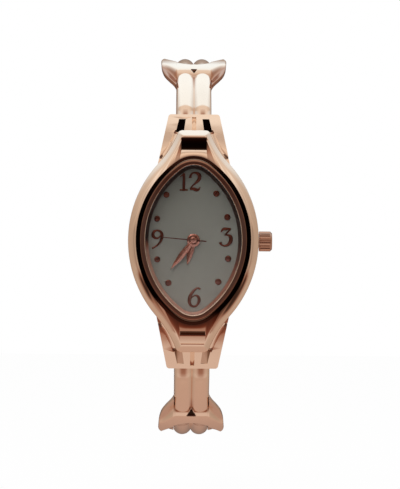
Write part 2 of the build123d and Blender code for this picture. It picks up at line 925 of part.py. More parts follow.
# Front bars: the hinge knuckle, then the twin bars as far as the strap
with BuildPart() as upper_front_bars:
    add(bar_sweep(bar_start_angle, collar_angle))
    add(knuckle())
    add(strap.part, mode=Mode.SUBTRACT)
    with BuildSketch(collar_plane()):
        with BuildLine():
            Polyline(
                (-strap_notch_half_width, strap_front_t),
                (strap_notch_half_width, strap_front_t),
                (0, strap_front_t - strap_notch_length),
                close=True,
            )
        make_face()
    extrude(amount=far / 4, both=True, mode=Mode.SUBTRACT)
write(upper_front_bars, "upper_front_bars")

# Rear bars: from the strap over the widest point of the hoop to the middle of the back
back_end_angle = 180 - math.degrees(math.asin(bar_gap_at_back / back_radius))
with BuildPart() as upper_rear_bars:
    add(bar_sweep(collar_angle, 180 - join_angle))
    with BuildSketch(radial_plane(-back_centre_y, 0, 180 - join_angle)):
        add(bar_section(back_radius))
    revolve(
        axis=Axis((0, -back_centre_y, 0), (-1, 0, 0)),
        revolution_arc=back_end_angle - 180 + join_angle,
    )
    add(strap.part, mode=Mode.SUBTRACT)
write(upper_rear_bars, "upper_rear_bars")

with BuildPart() as lower_front_bars:
    add(mirror(upper_front_bars.part, about=Plane.XY, mode=Mode.PRIVATE))
write(lower_front_bars, "lower_front_bars")

with BuildPart() as lower_collar:
    add(mirror(upper_collar.part, about=Plane.XY, mode=Mode.PRIVATE))
write(lower_collar, "lower_collar")

# The lower half carries the clasp's pin
clasp_pin_radius_out = back_radius - clasp_pin_drop
clasp_pin_angle = math.degrees(math.asin(clasp_pin_z / clasp_pin_radius_out))
clasp_pin_y = -back_centre_y + clasp_pin_radius_out * math.cos(math.radians(clasp_pin_angle))
with BuildPart() as lower_rear_bars:
    add(mirror(upper_rear_bars.part, about=Plane.XY, mode=Mode.PRIVATE))
    with BuildSketch(Plane.YZ):
        with Locations((clasp_pin_y, clasp_pin_z)):
            Circle(pin_radius + running_clearance)
    extrude(amount=far, both=True, mode=Mode.SUBTRACT)
write(lower_rear_bars, "lower_rear_bars")

# Clasp cover: a channel over both ends, with ears at the pin and a nub inside each cheek
cheek_inner_x = bar_half_width + clasp_side_clearance
cheek_outer_x = cheek_inner_x + clasp_cheek
plate_inner = back_radius + clasp_gap
clasp_axis = Axis((0, -back_centre_y, 0), (-1, 0, 0))
plate_start_angle = math.degrees(math.asin((clasp_pin_z + clasp_plate_start) / plate_inner))
clasp_end_angle = math.degrees(math.asin(clasp_end_z / plate_inner))
with BuildPart() as clasp_cover:
    with BuildSketch(radial_plane(-back_centre_y, 0, 180 - clasp_end_angle)) as cover_section:
        with BuildLine():
            Polyline(
                (-cheek_outer_x, back_radius - clasp_cheek_depth),
                (-cheek_outer_x, plate_inner + clasp_plate),
                (cheek_outer_x, plate_inner + clasp_plate),
                (cheek_outer_x, back_radius - clasp_cheek_depth),
                (cheek_inner_x, back_radius - clasp_cheek_depth),
                (cheek_inner_x, plate_inner),
                (-cheek_inner_x, plate_inner),
                (-cheek_inner_x, back_radius - clasp_cheek_depth),
                close=True,
            )
        make_face()
        outer_corners = cover_section.vertices().group_by(Axis.Y)[-1]
        fillet(outer_corners, clasp_plate / 2)
    revolve(axis=clasp_axis, revolution_arc=clasp_end_angle - plate_start_angle)
    for side in (1, -1):
        cheek_middle_x = side * (cheek_inner_x + cheek_outer_x) / 2
        ear_top = clasp_pin_radius_out + clasp_ear_radius
        with BuildSketch(radial_plane(-back_centre_y, 0, 180 - plate_start_angle)):
            with Locations((cheek_middle_x, clasp_pin_radius_out)):
                Rectangle(clasp_cheek, 2 * clasp_ear_radius)
        revolve(axis=clasp_axis, revolution_arc=plate_start_angle - clasp_pin_angle)
        with BuildSketch(Plane.YZ.offset(cheek_middle_x)):
            with Locations((clasp_pin_y, clasp_pin_z)):
                Circle(clasp_ear_radius)
        extrude(amount=clasp_cheek / 2, both=True)
        nub_reach = back_radius - clasp_cheek_depth / 2
        nub_turn = math.asin(clasp_nub_z / nub_reach)
        nub_y = -back_centre_y + nub_reach * math.cos(nub_turn)
        with BuildSketch(Plane.YZ.offset(side * cheek_inner_x)):
            with Locations((nub_y, clasp_nub_z)):
                Circle(clasp_nub_radius)
        extrude(amount=-side * clasp_nub_height)
    with BuildSketch(Plane.YZ):
        with Locations((clasp_pin_y, clasp_pin_z)):
            Circle(pin_radius + press_clearance)
    extrude(amount=far, both=True, mode=Mode.SUBTRACT)
write(clasp_cover, "clasp_cover")

with BuildPart() as clasp_pin:
    with BuildSketch(Plane.YZ):
        with Locations((clasp_pin_y, clasp_pin_z)):
            Circle(pin_radius)
    extrude(amount=cheek_outer_x, both=True)
    chamfer(clasp_pin.edges().filter_by(GeomType.CIRCLE), pin_radius / 4)
write(clasp_pin, "clasp_pin")

# Crown: a fluted knob with a bevelled cap, hollow over the case's tube
crown_end_x = crown_start_x + crown_length
with BuildPart() as crown:
    with BuildSketch(Plane.YZ.offset(crown_start_x)):
        with Locations((crown_y, 0)):
            Circle(crown_radius)
    extrude(amount=crown_length)
    with BuildSketch(Plane.YZ.offset(crown_start_x)):
        with Locations((crown_y, 0)):
            with PolarLocations(crown_radius + crown_flute_depth / 2, crown_flutes):
                RegularPolygon(crown_flute_depth * 1.6, 4)
    extrude(amount=crown_length - crown_cap_length, mode=Mode.SUBTRACT)
    chamfer(crown.edges().group_by(Axis.X)[-1], crown_cap_bevel)
    with BuildSketch(Plane.YZ.offset(crown_start_x)):
        with Locations((crown_y, 0)):
            Circle(crown_radius - crown_wall)
    extrude(amount=crown_length - crown_floor, mode=Mode.SUBTRACT)
    with BuildSketch(Plane.YZ.offset(crown_start_x)):
        with Locations((crown_y, 0)):
            Circle(stem_radius + press_clearance)
    extrude(amount=crown_length - crown_floor + stem_thread_length, mode=Mode.SUBTRACT)
write(crown, "crown")

with BuildPart() as crown_tube:
    with BuildSketch(Plane.YZ.offset(tube_start_x)):
        with Locations((crown_y, 0)):
            Circle(tube_radius)
            Circle(tube_bore_radius, mode=Mode.SUBTRACT)
    extrude(amount=tube_end_x - tube_start_x)
write(crown_tube, "crown_tube")

with BuildPart() as crown_gasket:
    with BuildSketch(Plane.YZ.offset(crown_start_x + crown_gasket_start)):
        with Locations((crown_y, 0)):
            Circle(crown_radius - crown_wall - press_clearance)
            Circle(tube_radius + crown_gasket_clearance, mode=Mode.SUBTRACT)
    extrude(amount=crown_gasket_length)
write(crown_gasket, "crown_gasket")

# Stem: a stepped rod with a groove for the setting yoke and a pilot at its inner end
stem_end_x = crown_end_x - crown_floor + stem_thread_length
with BuildPart() as stem:
    with BuildSketch(Plane.XY):
        with BuildLine():
            Polyline(
                (pilot_start_x, crown_y),
                (pilot_start_x, crown_y + pilot_radius),
                (stem_start_x, crown_y + pilot_radius),
                (stem_start_x, crown_y + stem_radius),
                (stem_groove_x - stem_groove_width / 2, crown_y + stem_radius),
                (stem_groove_x - stem_groove_width / 2, crown_y + stem_groove_radius),
                (stem_groove_x + stem_groove_width / 2, crown_y + stem_groove_radius),
                (stem_groove_x + stem_groove_width / 2, crown_y + stem_radius),
                (stem_end_x, crown_y + stem_radius),
                (stem_end_x, crown_y),
                close=True,
            )
        make_face()
    revolve(axis=Axis((0, crown_y, 0), (1, 0, 0)))
write(stem, "stem")

with BuildPart() as sliding_pinion:
    with BuildSketch(Plane.YZ.offset(sliding_pinion_start_x)):
        add(
            gear_outline(
                sliding_pinion_teeth,
                sliding_pinion_radius,
                (crown_y, 0),
                stem_radius + press_clearance,
            )
        )
    extrude(amount=sliding_pinion_length)
write(sliding_pinion, "sliding_pinion")

# Setting yoke: rides in the stem's groove and slides with it when the crown is pulled
with BuildPart() as setting_yoke:
    leg_half = stem_groove_width / 2 - yoke_clearance
    with BuildSketch(dial_plane(yoke_top_depth + yoke_thickness)):
        with Locations((stem_groove_x, (yoke_end_z - yoke_fork_half_width) / 2)):
            Rectangle(2 * leg_half, yoke_end_z + yoke_fork_half_width)
        with Locations((stem_groove_x, yoke_end_z - yoke_head_length / 2)):
            Rectangle(yoke_head_width, yoke_head_length)
    extrude(amount=yoke_thickness)
    with BuildSketch(Plane.YZ.offset(stem_groove_x - leg_half)):
        fork_height = yoke_top_depth - yoke_fork_depth
        with Locations((front_y + yoke_fork_depth + fork_height / 2, 0)):
            Rectangle(fork_height, 2 * yoke_fork_half_width)
        with Locations((crown_y, 0)):
            Circle(stem_groove_radius + yoke_clearance, mode=Mode.SUBTRACT)
        with Locations((crown_y - fork_height / 2, 0)):
            Rectangle(
                fork_height,
                2 * (stem_groove_radius + yoke_clearance),
                mode=Mode.SUBTRACT,
            )
    extrude(amount=2 * leg_half)
write(setting_yoke, "setting_yoke")

# Places of the arbors, worked out from the distances between them
centre_place = (0.0, 0.0)
third_place = polar(third_distance, third_direction)
intermediate_place = polar(intermediate_distance, intermediate_direction)
rotor_place = polar(rotor_distance, rotor_direction, intermediate_place)
motion_place = polar(motion_distance, motion_direction)
second_module = third_distance * 2 / (third_wheel_teeth + second_pinion_teeth)
third_module = third_distance * 2 / (centre_wheel_teeth + third_pinion_teeth)
drive_module = intermediate_distance * 2 / (second_wheel_teeth + intermediate_pinion_teeth)
rotor_module = rotor_distance * 2 / (intermediate_wheel_teeth + rotor_pinion_teeth)
cannon_module = motion_distance * 2 / (minute_wheel_teeth + cannon_teeth)
hour_module = motion_distance * 2 / (hour_wheel_teeth + minute_pinion_teeth)

# Second wheel: its arbor runs through the whole movement and carries the second hand
with BuildPart() as second_wheel:
    add(arbor(second_arbor_radius, second_hand_depth, bridge_base_depth, centre_place))
    add(
        gear(
            second_wheel_teeth,
            second_wheel_teeth * drive_module / 2,
            second_layer,
            second_layer + wheel_thickness,
            centre_place,
        )
    )
    add(
        gear(
            second_pinion_teeth,
            second_pinion_teeth * second_module / 2,
            third_layer - pinion_overlap,
            third_layer + wheel_thickness + pinion_overlap,
            centre_place,
        )
    )
write(second_wheel, "second_wheel")

third_phase = mesh_phase(third_wheel_teeth, third_direction, second_pinion_teeth, 0)
with BuildPart() as third_wheel:
    add(arbor(pivot_radius, plate_base_depth - pivot_length, bridge_base_depth, third_place))
    add(
        gear(
            third_wheel_teeth,
            third_wheel_teeth * second_module / 2,
            third_layer,
            third_layer + wheel_thickness,
            third_place,
            phase=third_phase,
        )
    )
    add(
        gear(
            third_pinion_teeth,
            third_pinion_teeth * third_module / 2,
            centre_layer - wheel_gap,
            third_layer,
            third_place,
        )
    )
write(third_wheel, "third_wheel")

# Centre wheel: a tube round the second arbor that carries the minute hand and drives the hours
centre_phase = mesh_phase(centre_wheel_teeth, third_direction + 180, third_pinion_teeth, 0)
with BuildPart() as centre_wheel:
    add(
        arbor(
            centre_tube_radius,
            minute_hand_depth,
            centre_layer + wheel_thickness,
            centre_place,
            centre_tube_bore,
        )
    )
    add(
        gear(
            centre_wheel_teeth,
            centre_wheel_teeth * third_module / 2,
            centre_layer,
            centre_layer + wheel_thickness,
            centre_place,
            centre_tube_bore,
            centre_phase,
        )
    )
    add(
        gear(
            cannon_teeth,
            cannon_teeth * cannon_module / 2,
            cannon_layer - pinion_overlap,
            cannon_layer + wheel_thickness + pinion_overlap,
            centre_place,
            centre_tube_bore,
        )
    )
write(centre_wheel, "centre_wheel")

intermediate_phase = mesh_phase(
    intermediate_pinion_teeth, intermediate_direction, second_wheel_teeth, 0
)
with BuildPart() as intermediate_wheel:
    add(
        arbor(
            pivot_radius, plate_base_depth - pivot_length, bridge_base_depth, intermediate_place
        )
    )
    add(
        gear(
            intermediate_wheel_teeth,
            intermediate_wheel_teeth * rotor_module / 2,
            rotor_layer,
            rotor_layer + wheel_thickness,
            intermediate_place,
            phase=intermediate_phase,
        )
    )
    add(
        gear(
            intermediate_pinion_teeth,
            intermediate_pinion_teeth * drive_module / 2,
            second_layer - pinion_overlap,
            rotor_layer,
            intermediate_place,
            phase=intermediate_phase,
        )
    )
write(intermediate_wheel, "intermediate_wheel")

rotor_phase = mesh_phase(
    rotor_pinion_teeth, rotor_direction, intermediate_wheel_teeth, intermediate_phase
)
with BuildPart() as rotor:
    add(arbor(pivot_radius, plate_base_depth - pivot_length, bridge_base_depth, rotor_place))
    add(arbor(magnet_radius, magnet_top_depth, magnet_base_depth, rotor_place))
    add(
        gear(
            rotor_pinion_teeth,
            rotor_pinion_teeth * rotor_module / 2,
            magnet_base_depth,
            rotor_layer + wheel_thickness + pinion_overlap,
            rotor_place,
            phase=rotor_phase,
        )
    )
write(rotor, "rotor")

minute_phase = mesh_phase(minute_wheel_teeth, motion_direction, cannon_teeth, 0)
with BuildPart() as minute_wheel:
    add(
        gear(
            minute_wheel_teeth,
            minute_wheel_teeth * cannon_module / 2,
            cannon_layer,
            cannon_layer + wheel_thickness,
            motion_place,
            pivot_radius + pivot_clearance,
            minute_phase,
        )
    )
    add(
        gear(
            minute_pinion_teeth,
            minute_pinion_teeth * hour_module / 2,
            hour_layer - wheel_gap / 2,
            cannon_layer,
            motion_place,
            pivot_radius + pivot_clearance,
            minute_phase,
        )
    )
write(minute_wheel, "minute_wheel")

hour_phase = mesh_phase(
    hour_wheel_teeth, motion_direction + 180, minute_pinion_teeth, minute_phase
)
with BuildPart() as hour_wheel:
    add(
        arbor(hour_tube_radius, hour_hand_depth, hour_layer, centre_place, hour_tube_bore)
    )
    add(
        gear(
            hour_wheel_teeth,
            hour_wheel_teeth * hour_module / 2,
            hour_layer,
            hour_layer + wheel_thickness,
            centre_place,
            hour_tube_bore,
            hour_phase,
        )
    )
write(hour_wheel, "hour_wheel")

# Hands
with BuildPart() as hour_hand:
    add(
        leaf_hand(
            hour_hand_length,
            hour_hand_width,
            hour_hand_depth,
            hour_hand_angle,
            hand_hub_radius,
            hour_tube_radius + press_clearance,
        )
    )
write(hour_hand, "hour_hand")

with BuildPart() as minute_hand:
    add(
        leaf_hand(
            minute_hand_length,
            minute_hand_width,
            minute_hand_depth,
            minute_hand_angle,
            hand_hub_radius * 0.85,
            centre_tube_radius + press_clearance,
        )
    )
write(minute_hand, "minute_hand")

with BuildPart() as second_hand:
    with BuildSketch(dial_plane(second_hand_depth + hand_thickness, second_hand_angle)):
        with BuildLine():
            Polyline(
                (-second_hand_width / 2, -second_hand_tail),
                (second_hand_width / 2, -second_hand_tail),
                (second_hand_width / 4, second_hand_length),
                (-second_hand_width / 4, second_hand_length),
                close=True,
            )
        make_face()
        Circle(cap_radius)
    extrude(amount=hand_thickness)
    bore_radius = second_arbor_radius + press_clearance
    add(arbor(bore_radius, 0, far, centre_place), mode=Mode.SUBTRACT)
    with BuildSketch(dial_plane(second_hand_depth)):
        Circle(cap_radius)
    extrude(amount=cap_height, taper=cap_taper)
write(second_hand, "second_hand")

# Main plate, with a recess for the motion work, a channel for the stem and a well for the battery
with BuildPart() as main_plate:
    add(movement_plate(plate_lens_half_width, plate_top_depth, plate_base_depth))
    hour_room = hour_wheel_teeth * hour_module / 2 + wheel_room
    motion_room = minute_wheel_teeth * cannon_module / 2 + wheel_room
    add(
        arbor(hour_room, plate_top_depth, plate_recess_depth, centre_place),
        mode=Mode.SUBTRACT,
    )
    add(
        arbor(motion_room, plate_top_depth, plate_recess_depth, motion_place),
        mode=Mode.SUBTRACT,
    )
    add(arbor(pivot_radius, hour_layer, plate_recess_depth, motion_place))
    for place in pillar_places:
        add(arbor(pillar_radius, plate_base_depth, bridge_top_depth, place))
    add(
        arbor(
            centre_tube_radius + running_clearance,
            plate_recess_depth,
            plate_base_depth,
            centre_place,
        ),
        mode=Mode.SUBTRACT,
    )
    for place in (third_place, intermediate_place, rotor_place):
        add(
            arbor(
                pivot_radius + pivot_clearance,
                plate_base_depth - pivot_length - pivot_clearance,
                plate_base_depth,
                place,
            ),
            mode=Mode.SUBTRACT,
        )
    add(
        arbor(
            battery_radius + battery_clearance,
            battery_top_depth - battery_clearance / 2,
            plate_base_depth,
            battery_place,
        ),
        mode=Mode.SUBTRACT,
    )
    with BuildSketch(dial_plane(plate_base_depth)):
        with Locations(((channel_start_x + far) / 2, 0)):
            Rectangle(far - channel_start_x, 2 * channel_half_width)
    extrude(amount=plate_base_depth - channel_top_depth, mode=Mode.SUBTRACT)
    with BuildSketch(Plane.YZ.offset(pilot_start_x - pivot_clearance)):
        with Locations((crown_y, 0)):
            Circle(pilot_radius + running_clearance)
    extrude(amount=stem_start_x - pilot_start_x, mode=Mode.SUBTRACT)
write(main_plate, "main_plate")

with BuildPart() as train_bridge:
    add(movement_plate(plate_lens_half_width, bridge_top_depth, bridge_base_depth))
    with BuildSketch(dial_plane(far)):
        with Locations((0, bridge_low_z - far / 2)):
            Rectangle(2 * far, far)
        with Locations((coil_x + coil_room - far / 2, coil_high_z + coil_room - far / 2)):
            Rectangle(far, far)
        with Locations(battery_place):
            Circle(battery_radius + battery_clearance)
    extrude(amount=2 * far, mode=Mode.SUBTRACT)
    add(clear_hole(second_arbor_radius + pivot_clearance, [centre_place]), mode=Mode.SUBTRACT)
    pivot_places = [third_place, intermediate_place, rotor_place]
    add(clear_hole(pivot_radius + pivot_clearance, pivot_places), mode=Mode.SUBTRACT)
write(train_bridge, "train_bridge")

# Battery, its contact clip, the coil on its core, the stator, and the circuit with its quartz
with BuildPart() as battery:
    battery_base_depth = battery_top_depth + battery_height
    add(arbor(battery_radius, battery_top_depth + battery_step, battery_base_depth, battery_place))
    add(arbor(battery_radius - battery_rim, battery_top_depth, battery_base_depth, battery_place))
    chamfer(battery.faces().sort_by(Axis.Y)[-1].edges(), battery_step / 2)
write(battery, "battery")

with BuildPart() as battery_clip:
    with BuildSketch(dial_plane(clip_depth + clip_thickness)):
        with Locations(clip_place):
            SlotCenterToCenter(clip_length, clip_width, rotation=clip_direction)
    extrude(amount=clip_thickness)
write(battery_clip, "battery_clip")

with BuildPart() as coil:
    coil_y = front_y + coil_depth
    with BuildSketch(Plane.XY.offset(coil_low_z)):
        with Locations((coil_x, coil_y)):
            Circle(coil_radius)
    extrude(amount=coil_high_z - coil_low_z)
    for z in (coil_low_z - coil_flange, coil_high_z):
        with BuildSketch(Plane.XY.offset(z)):
            with Locations((coil_x, coil_y)):
                Rectangle(2 * coil_radius, 2 * coil_radius)
        extrude(amount=coil_flange)
    with BuildSketch(Plane.XY.offset(coil_low_z - coil_core_reach)):
        with Locations((coil_x, coil_y)):
            Rectangle(coil_core_width, coil_core_thickness)
    extrude(amount=coil_high_z - coil_low_z + 2 * coil_core_reach)
write(coil, "coil")

with BuildPart() as stator:
    stator_base_depth = coil_depth - coil_core_thickness / 2
    core_low_z = coil_low_z - coil_core_reach
    core_high_z = coil_high_z + coil_core_reach
    limb_x = coil_x + coil_radius + stator_gap
    with BuildSketch(dial_plane(stator_base_depth)):
        with Locations(rotor_place):
            Circle(magnet_radius + stator_rim)
        with BuildLine():
            Polyline(
                (coil_x - coil_core_width / 2, core_high_z),
                (coil_x - coil_core_width / 2, coil_high_z + coil_flange),
                (rotor_place[0], rotor_place[1] - magnet_radius - stator_gap),
                (rotor_place[0], rotor_place[1] + magnet_radius + stator_gap),
                close=True,
            )
        make_face()
        with Locations((limb_x + stator_limb / 2, (core_low_z + core_high_z) / 2)):
            Rectangle(stator_limb, core_high_z - core_low_z)
        with Locations(((coil_x + limb_x) / 2, core_low_z + stator_foot / 2)):
            Rectangle(limb_x - coil_x + coil_core_width, stator_foot)
        with Locations(rotor_place):
            Circle(magnet_radius + stator_gap, mode=Mode.SUBTRACT)
    extrude(amount=stator_thickness)
write(stator, "stator")

with BuildPart() as circuit_board:
    add(movement_plate(plate_lens_half_width - board_margin, board_top_depth, board_base_depth))
    with BuildSketch(dial_plane(far)):
        with Locations((0, board_high_z + far / 2)):
            Rectangle(2 * far, far)
        with Locations(battery_place):
            Circle(battery_radius + battery_clearance + board_margin)
        with Locations((battery_place[0] + far / 2, 0)):
            Rectangle(far, 2 * far)
    extrude(amount=2 * far, mode=Mode.SUBTRACT)
    # The chip under its drop of resin
    with BuildSketch(dial_plane(board_base_depth)):
        with Locations(chip_place):
            Circle(chip_radius)
    extrude(amount=-chip_height)
    chamfer(circuit_board.faces().sort_by(Axis.Y)[-1].edges(), chip_height / 2)
write(circuit_board, "circuit_board")

with BuildPart() as quartz_can:
    can_y = front_y + board_base_depth + can_radius
    with BuildSketch(Plane.YZ.offset(can_start_x)):
        with Locations((can_y, can_z)):
            Circle(can_radius)
    extrude(amount=can_length)
    chamfer(quartz_can.edges().filter_by(GeomType.CIRCLE).group_by(Axis.X)[-1], can_radius / 4)
write(quartz_can, "quartz_can")

# Plastic holder between the movement and the case
with BuildPart() as movement_holder:
    holder_half_width = ring_skirt_half_width - dial_clearance
    add(lens_plate(holder_half_width, plate_top_depth, holder_base_depth))
    add(
        movement_plate(plate_lens_half_width + holder_clearance, 0, far, holder_clearance),
        mode=Mode.SUBTRACT,
    )
    with BuildSketch(Plane.YZ):
        with Locations((crown_y, 0)):
            Circle(stem_radius + running_clearance * 2)
    extrude(amount=far, mode=Mode.SUBTRACT)
write(movement_holder, "movement_holder")
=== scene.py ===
"""A lady's bangle watch in rose gold, dressed for its picture.

Sizes are in millimetres. A depth is counted from the front of the bezel ring towards the
wrist, x points to 3 o'clock and z to 12 o'clock.
"""

import logging
import math
from dataclasses import dataclass
from enum import Enum
from typing import Callable, Sequence

import bmesh
import bpy
from mathutils import Matrix, Vector


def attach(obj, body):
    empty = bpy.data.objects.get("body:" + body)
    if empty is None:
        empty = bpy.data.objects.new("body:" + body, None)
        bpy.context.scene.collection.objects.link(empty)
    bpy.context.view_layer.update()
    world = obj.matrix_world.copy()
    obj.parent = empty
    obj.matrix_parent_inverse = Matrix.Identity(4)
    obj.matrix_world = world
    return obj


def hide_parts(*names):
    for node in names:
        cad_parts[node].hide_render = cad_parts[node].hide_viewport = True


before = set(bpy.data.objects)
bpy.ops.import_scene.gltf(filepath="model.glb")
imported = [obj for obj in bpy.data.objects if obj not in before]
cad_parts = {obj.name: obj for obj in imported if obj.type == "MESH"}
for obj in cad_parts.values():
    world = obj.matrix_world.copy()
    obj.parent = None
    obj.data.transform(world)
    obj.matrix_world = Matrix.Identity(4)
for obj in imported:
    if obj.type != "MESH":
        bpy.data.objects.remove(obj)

LOG = logging.getLogger("bangle_watch")
MM = 0.001
FRONT_Y = -28.6
WELD = 1e-7
MERGE = 2e-6

Pair = tuple[float, float]
Points = tuple[Pair, ...]
Loop = list[Vector]
Colour = tuple[float, float, float]
Piece = bpy.types.Object
Material = bpy.types.Material
Socket = bpy.types.NodeSocket


# ---------------------------------------------------------------- places and curves


def at(x: float, z: float, depth: float) -> Vector:
    """Point in metres for a place on the dial plane and a depth."""
    return Vector((x, FRONT_Y + depth, z)) * MM


def arc(centre: Pair, radius: float, start: float, end: float, count: int) -> list[Pair]:
    """Points on a circular arc, the last one left out.

    Args:
        centre: The arc's middle.
        radius: Its radius.
        start: First angle in degrees.
        end: Last angle in degrees.
        count: How many points.

    Returns:
        The points as (x, z) pairs.
    """
    turns = [math.radians(start + (end - start) * step / count) for step in range(count)]
    return [(centre[0] + radius * math.cos(t), centre[1] + radius * math.sin(t)) for t in turns]


def line(start: Pair, end: Pair, count: int) -> list[Pair]:
    """Evenly spaced points from start to end, the last one left out."""
    over, up = end[0] - start[0], end[1] - start[1]
    return [(start[0] + over * s / count, start[1] + up * s / count) for s in range(count)]


def circles(profile: Points, count: int) -> list[Loop]:
    """Loops round the dial's middle, one for each pair of radius and depth."""
    return [
        [at(x, z, depth) for x, z in arc((0, 0), radius, 0, 360, count)]
        for radius, depth in profile
    ]


def four_fold(quarter: Sequence[Pair]) -> list[Pair]:
    """Whole outline from the quarter that runs from 3 to 12 o'clock, its last point included."""
    points = list(quarter)
    points += [(-x, z) for x, z in reversed(quarter[:-1])]
    points += [(-x, -z) for x, z in quarter[1:]]
    points += [(x, -z) for x, z in reversed(quarter[1:-1])]
    return points


def eased(value: float, start: float, end: float) -> float:
    """0 before start, 1 after end, and a smooth rise between them."""
    share = max(0.0, min(1.0, (value - start) / (end - start)))
    return share * share * (3 - 2 * share)


def within(value: float, span: Pair) -> bool:
    """True between the two ends of a span."""
    return span[0] < value < span[1]


def between(points: Points, value: float) -> float:
    """Height of a smooth curve through points, at a value along it.

    Args:
        points: Pairs of place and height, in order.
        value: The place.

    Returns:
        The height there.
    """
    last = len(points) - 1
    step = 0
    while step < last - 1 and value > points[step + 1][0]:
        step += 1
    (x0, y0), (x1, y1) = points[step], points[step + 1]
    before, after = points[max(0, step - 1)], points[min(last, step + 2)]
    slope0 = (y1 - before[1]) / (x1 - before[0])
    slope1 = (after[1] - y0) / (after[0] - x0)
    width = x1 - x0
    u = max(0.0, min(1.0, (value - x0) / width))
    return (
        (2 * u**3 - 3 * u**2 + 1) * y0
        + (u**3 - 2 * u**2 + u) * width * slope0
        + (3 * u**2 - 2 * u**3) * y1
        + (u**3 - u**2) * width * slope1
    )


# ---------------------------------------------------------------- modelling steps


def deselect_all() -> None:
    """Leaves nothing selected."""
    bpy.ops.object.select_all(action="DESELECT")


def take(piece: Piece) -> None:
    """Makes one piece the only selected one, and the active one."""
    deselect_all()
    piece.select_set(True)
    bpy.context.view_layer.objects.active = piece


def loft(name: str, loops: Sequence[Loop], ring: bool = False) -> Piece:
    """Extrudes a circle loop by loop and sets each loop's places.

    Args:
        name: The piece's name.
        loops: Loops of equally many points, in order.
        ring: True if the last loop meets the first, otherwise both ends are filled.

    Returns:
        The new piece.
    """
    deselect_all()
    bpy.ops.mesh.primitive_circle_add(vertices=len(loops[0]), radius=1.0)
    piece = bpy.context.object
    piece.name = piece.data.name = name
    bpy.ops.object.mode_set(mode="EDIT")
    shell = bmesh.from_edit_mesh(piece.data)
    shell.verts.ensure_lookup_table()
    for vertex, place in zip(shell.verts, loops[0]):
        vertex.co = place
    if not ring:
        bpy.ops.mesh.edge_face_add()
        bpy.ops.mesh.select_all(action="DESELECT")
        for edge in bmesh.from_edit_mesh(piece.data).edges:
            edge.select_set(True)
    before = loops[0]
    for places in list(loops[1:]) + ([loops[0]] if ring else []):
        bpy.ops.mesh.select_mode(type="EDGE")
        bpy.ops.mesh.extrude_edges_move()
        index = {tuple(round(c, 9) for c in place): i for i, place in enumerate(before)}
        for vertex in bmesh.from_edit_mesh(piece.data).verts:
            if vertex.select:
                vertex.co = places[index[tuple(round(c, 9) for c in vertex.co)]]
        before = [place.copy() for place in places]
    if not ring:
        bpy.ops.mesh.edge_face_add()
    bpy.ops.mesh.select_all(action="SELECT")
    bpy.ops.mesh.remove_doubles(threshold=WELD)
    bpy.ops.mesh.normals_make_consistent(inside=False)
    bpy.ops.object.mode_set(mode="OBJECT")
    return piece


def smooth(piece: Piece, degrees: float) -> None:
    """Shades a piece smooth except over edges sharper than an angle."""
    take(piece)
    bpy.ops.object.shade_smooth_by_angle(angle=math.radians(degrees))


def apply_all(piece: Piece) -> None:
    """Applies every modifier of a piece, in order."""
    take(piece)
    for modifier in list(piece.modifiers):
        bpy.ops.object.modifier_apply(modifier=modifier.name)


def soften(piece: Piece, width: float, degrees: float) -> None:
    """Rounds a piece's sharp edges.

    Args:
        piece: The piece.
        width: Width of the rounding.
        degrees: Edges that turn by more than this are rounded.
    """
    bevel = piece.modifiers.new("edge", "BEVEL")
    bevel.width = width * MM
    bevel.segments = 3
    bevel.limit_method = "ANGLE"
    bevel.angle_limit = math.radians(degrees)
    bevel.miter_outer = "MITER_ARC"
    apply_all(piece)


def cut(piece: Piece, cutter: Piece) -> None:
    """Cuts one piece out of another and removes the cutter."""
    boolean = piece.modifiers.new("cut", "BOOLEAN")
    boolean.operation = "DIFFERENCE"
    boolean.solver = "EXACT"
    boolean.object = cutter
    apply_all(piece)
    take(cutter)
    bpy.ops.object.delete()


def join(name: str, pieces: Sequence[Piece]) -> Piece:
    """Joins pieces into one mesh, kept in the first one, and names it."""
    deselect_all()
    for piece in pieces:
        piece.select_set(True)
    bpy.context.view_layer.objects.active = pieces[0]
    bpy.ops.object.join()
    pieces[0].name = pieces[0].data.name = name
    return pieces[0]


def settle(piece: Piece, matrix: Matrix) -> None:
    """Moves a piece's mesh by a matrix in metres and leaves its object at the origin."""
    piece.data.transform(matrix)
    piece.data.update()


def copy_of(piece: Piece, matrix: Matrix) -> Piece:
    """A copy with its own mesh, moved by a matrix in metres."""
    take(piece)
    bpy.ops.object.duplicate(linked=False)
    twin = bpy.context.object
    settle(twin, matrix)
    return twin


def merged_copy(node: str, name: str) -> Piece:
    """A copy of a node's mesh with its loose triangles merged.

    Args:
        node: The node that is copied.
        name: The new piece's name.

    Returns:
        The piece.
    """
    take(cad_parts[node])
    bpy.ops.object.duplicate(linked=False)
    piece = bpy.context.object
    piece.name = piece.data.name = name
    world = piece.matrix_world.copy()
    piece.parent = None
    piece.matrix_world = world
    piece.data.materials.clear()
    if piece.data.has_custom_normals:
        bpy.ops.mesh.customdata_custom_splitnormals_clear()
    bpy.ops.object.mode_set(mode="EDIT")
    bpy.ops.mesh.select_mode(type="VERT")
    bpy.ops.mesh.select_all(action="SELECT")
    bpy.ops.mesh.remove_doubles(threshold=MERGE)
    bpy.ops.mesh.dissolve_limited(angle_limit=math.radians(0.4))
    bpy.ops.object.mode_set(mode="OBJECT")
    return piece


def finish_piece(
    piece: Piece, material: Material, body: str, nodes: Sequence[str] = ()
) -> Piece:
    """Dresses a piece and says what it rides on and stands for.

    Args:
        piece: The piece.
        material: Its material.
        body: The body that it moves with.
        nodes: The nodes that it stands for.

    Returns:
        The same piece.
    """
    piece.data.materials.clear()
    piece.data.materials.append(material)
    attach(piece, body)
    if nodes:
        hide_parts(*nodes)
    LOG.info("%s: %d faces on %s", piece.name, len(piece.data.polygons), body)
    return piece


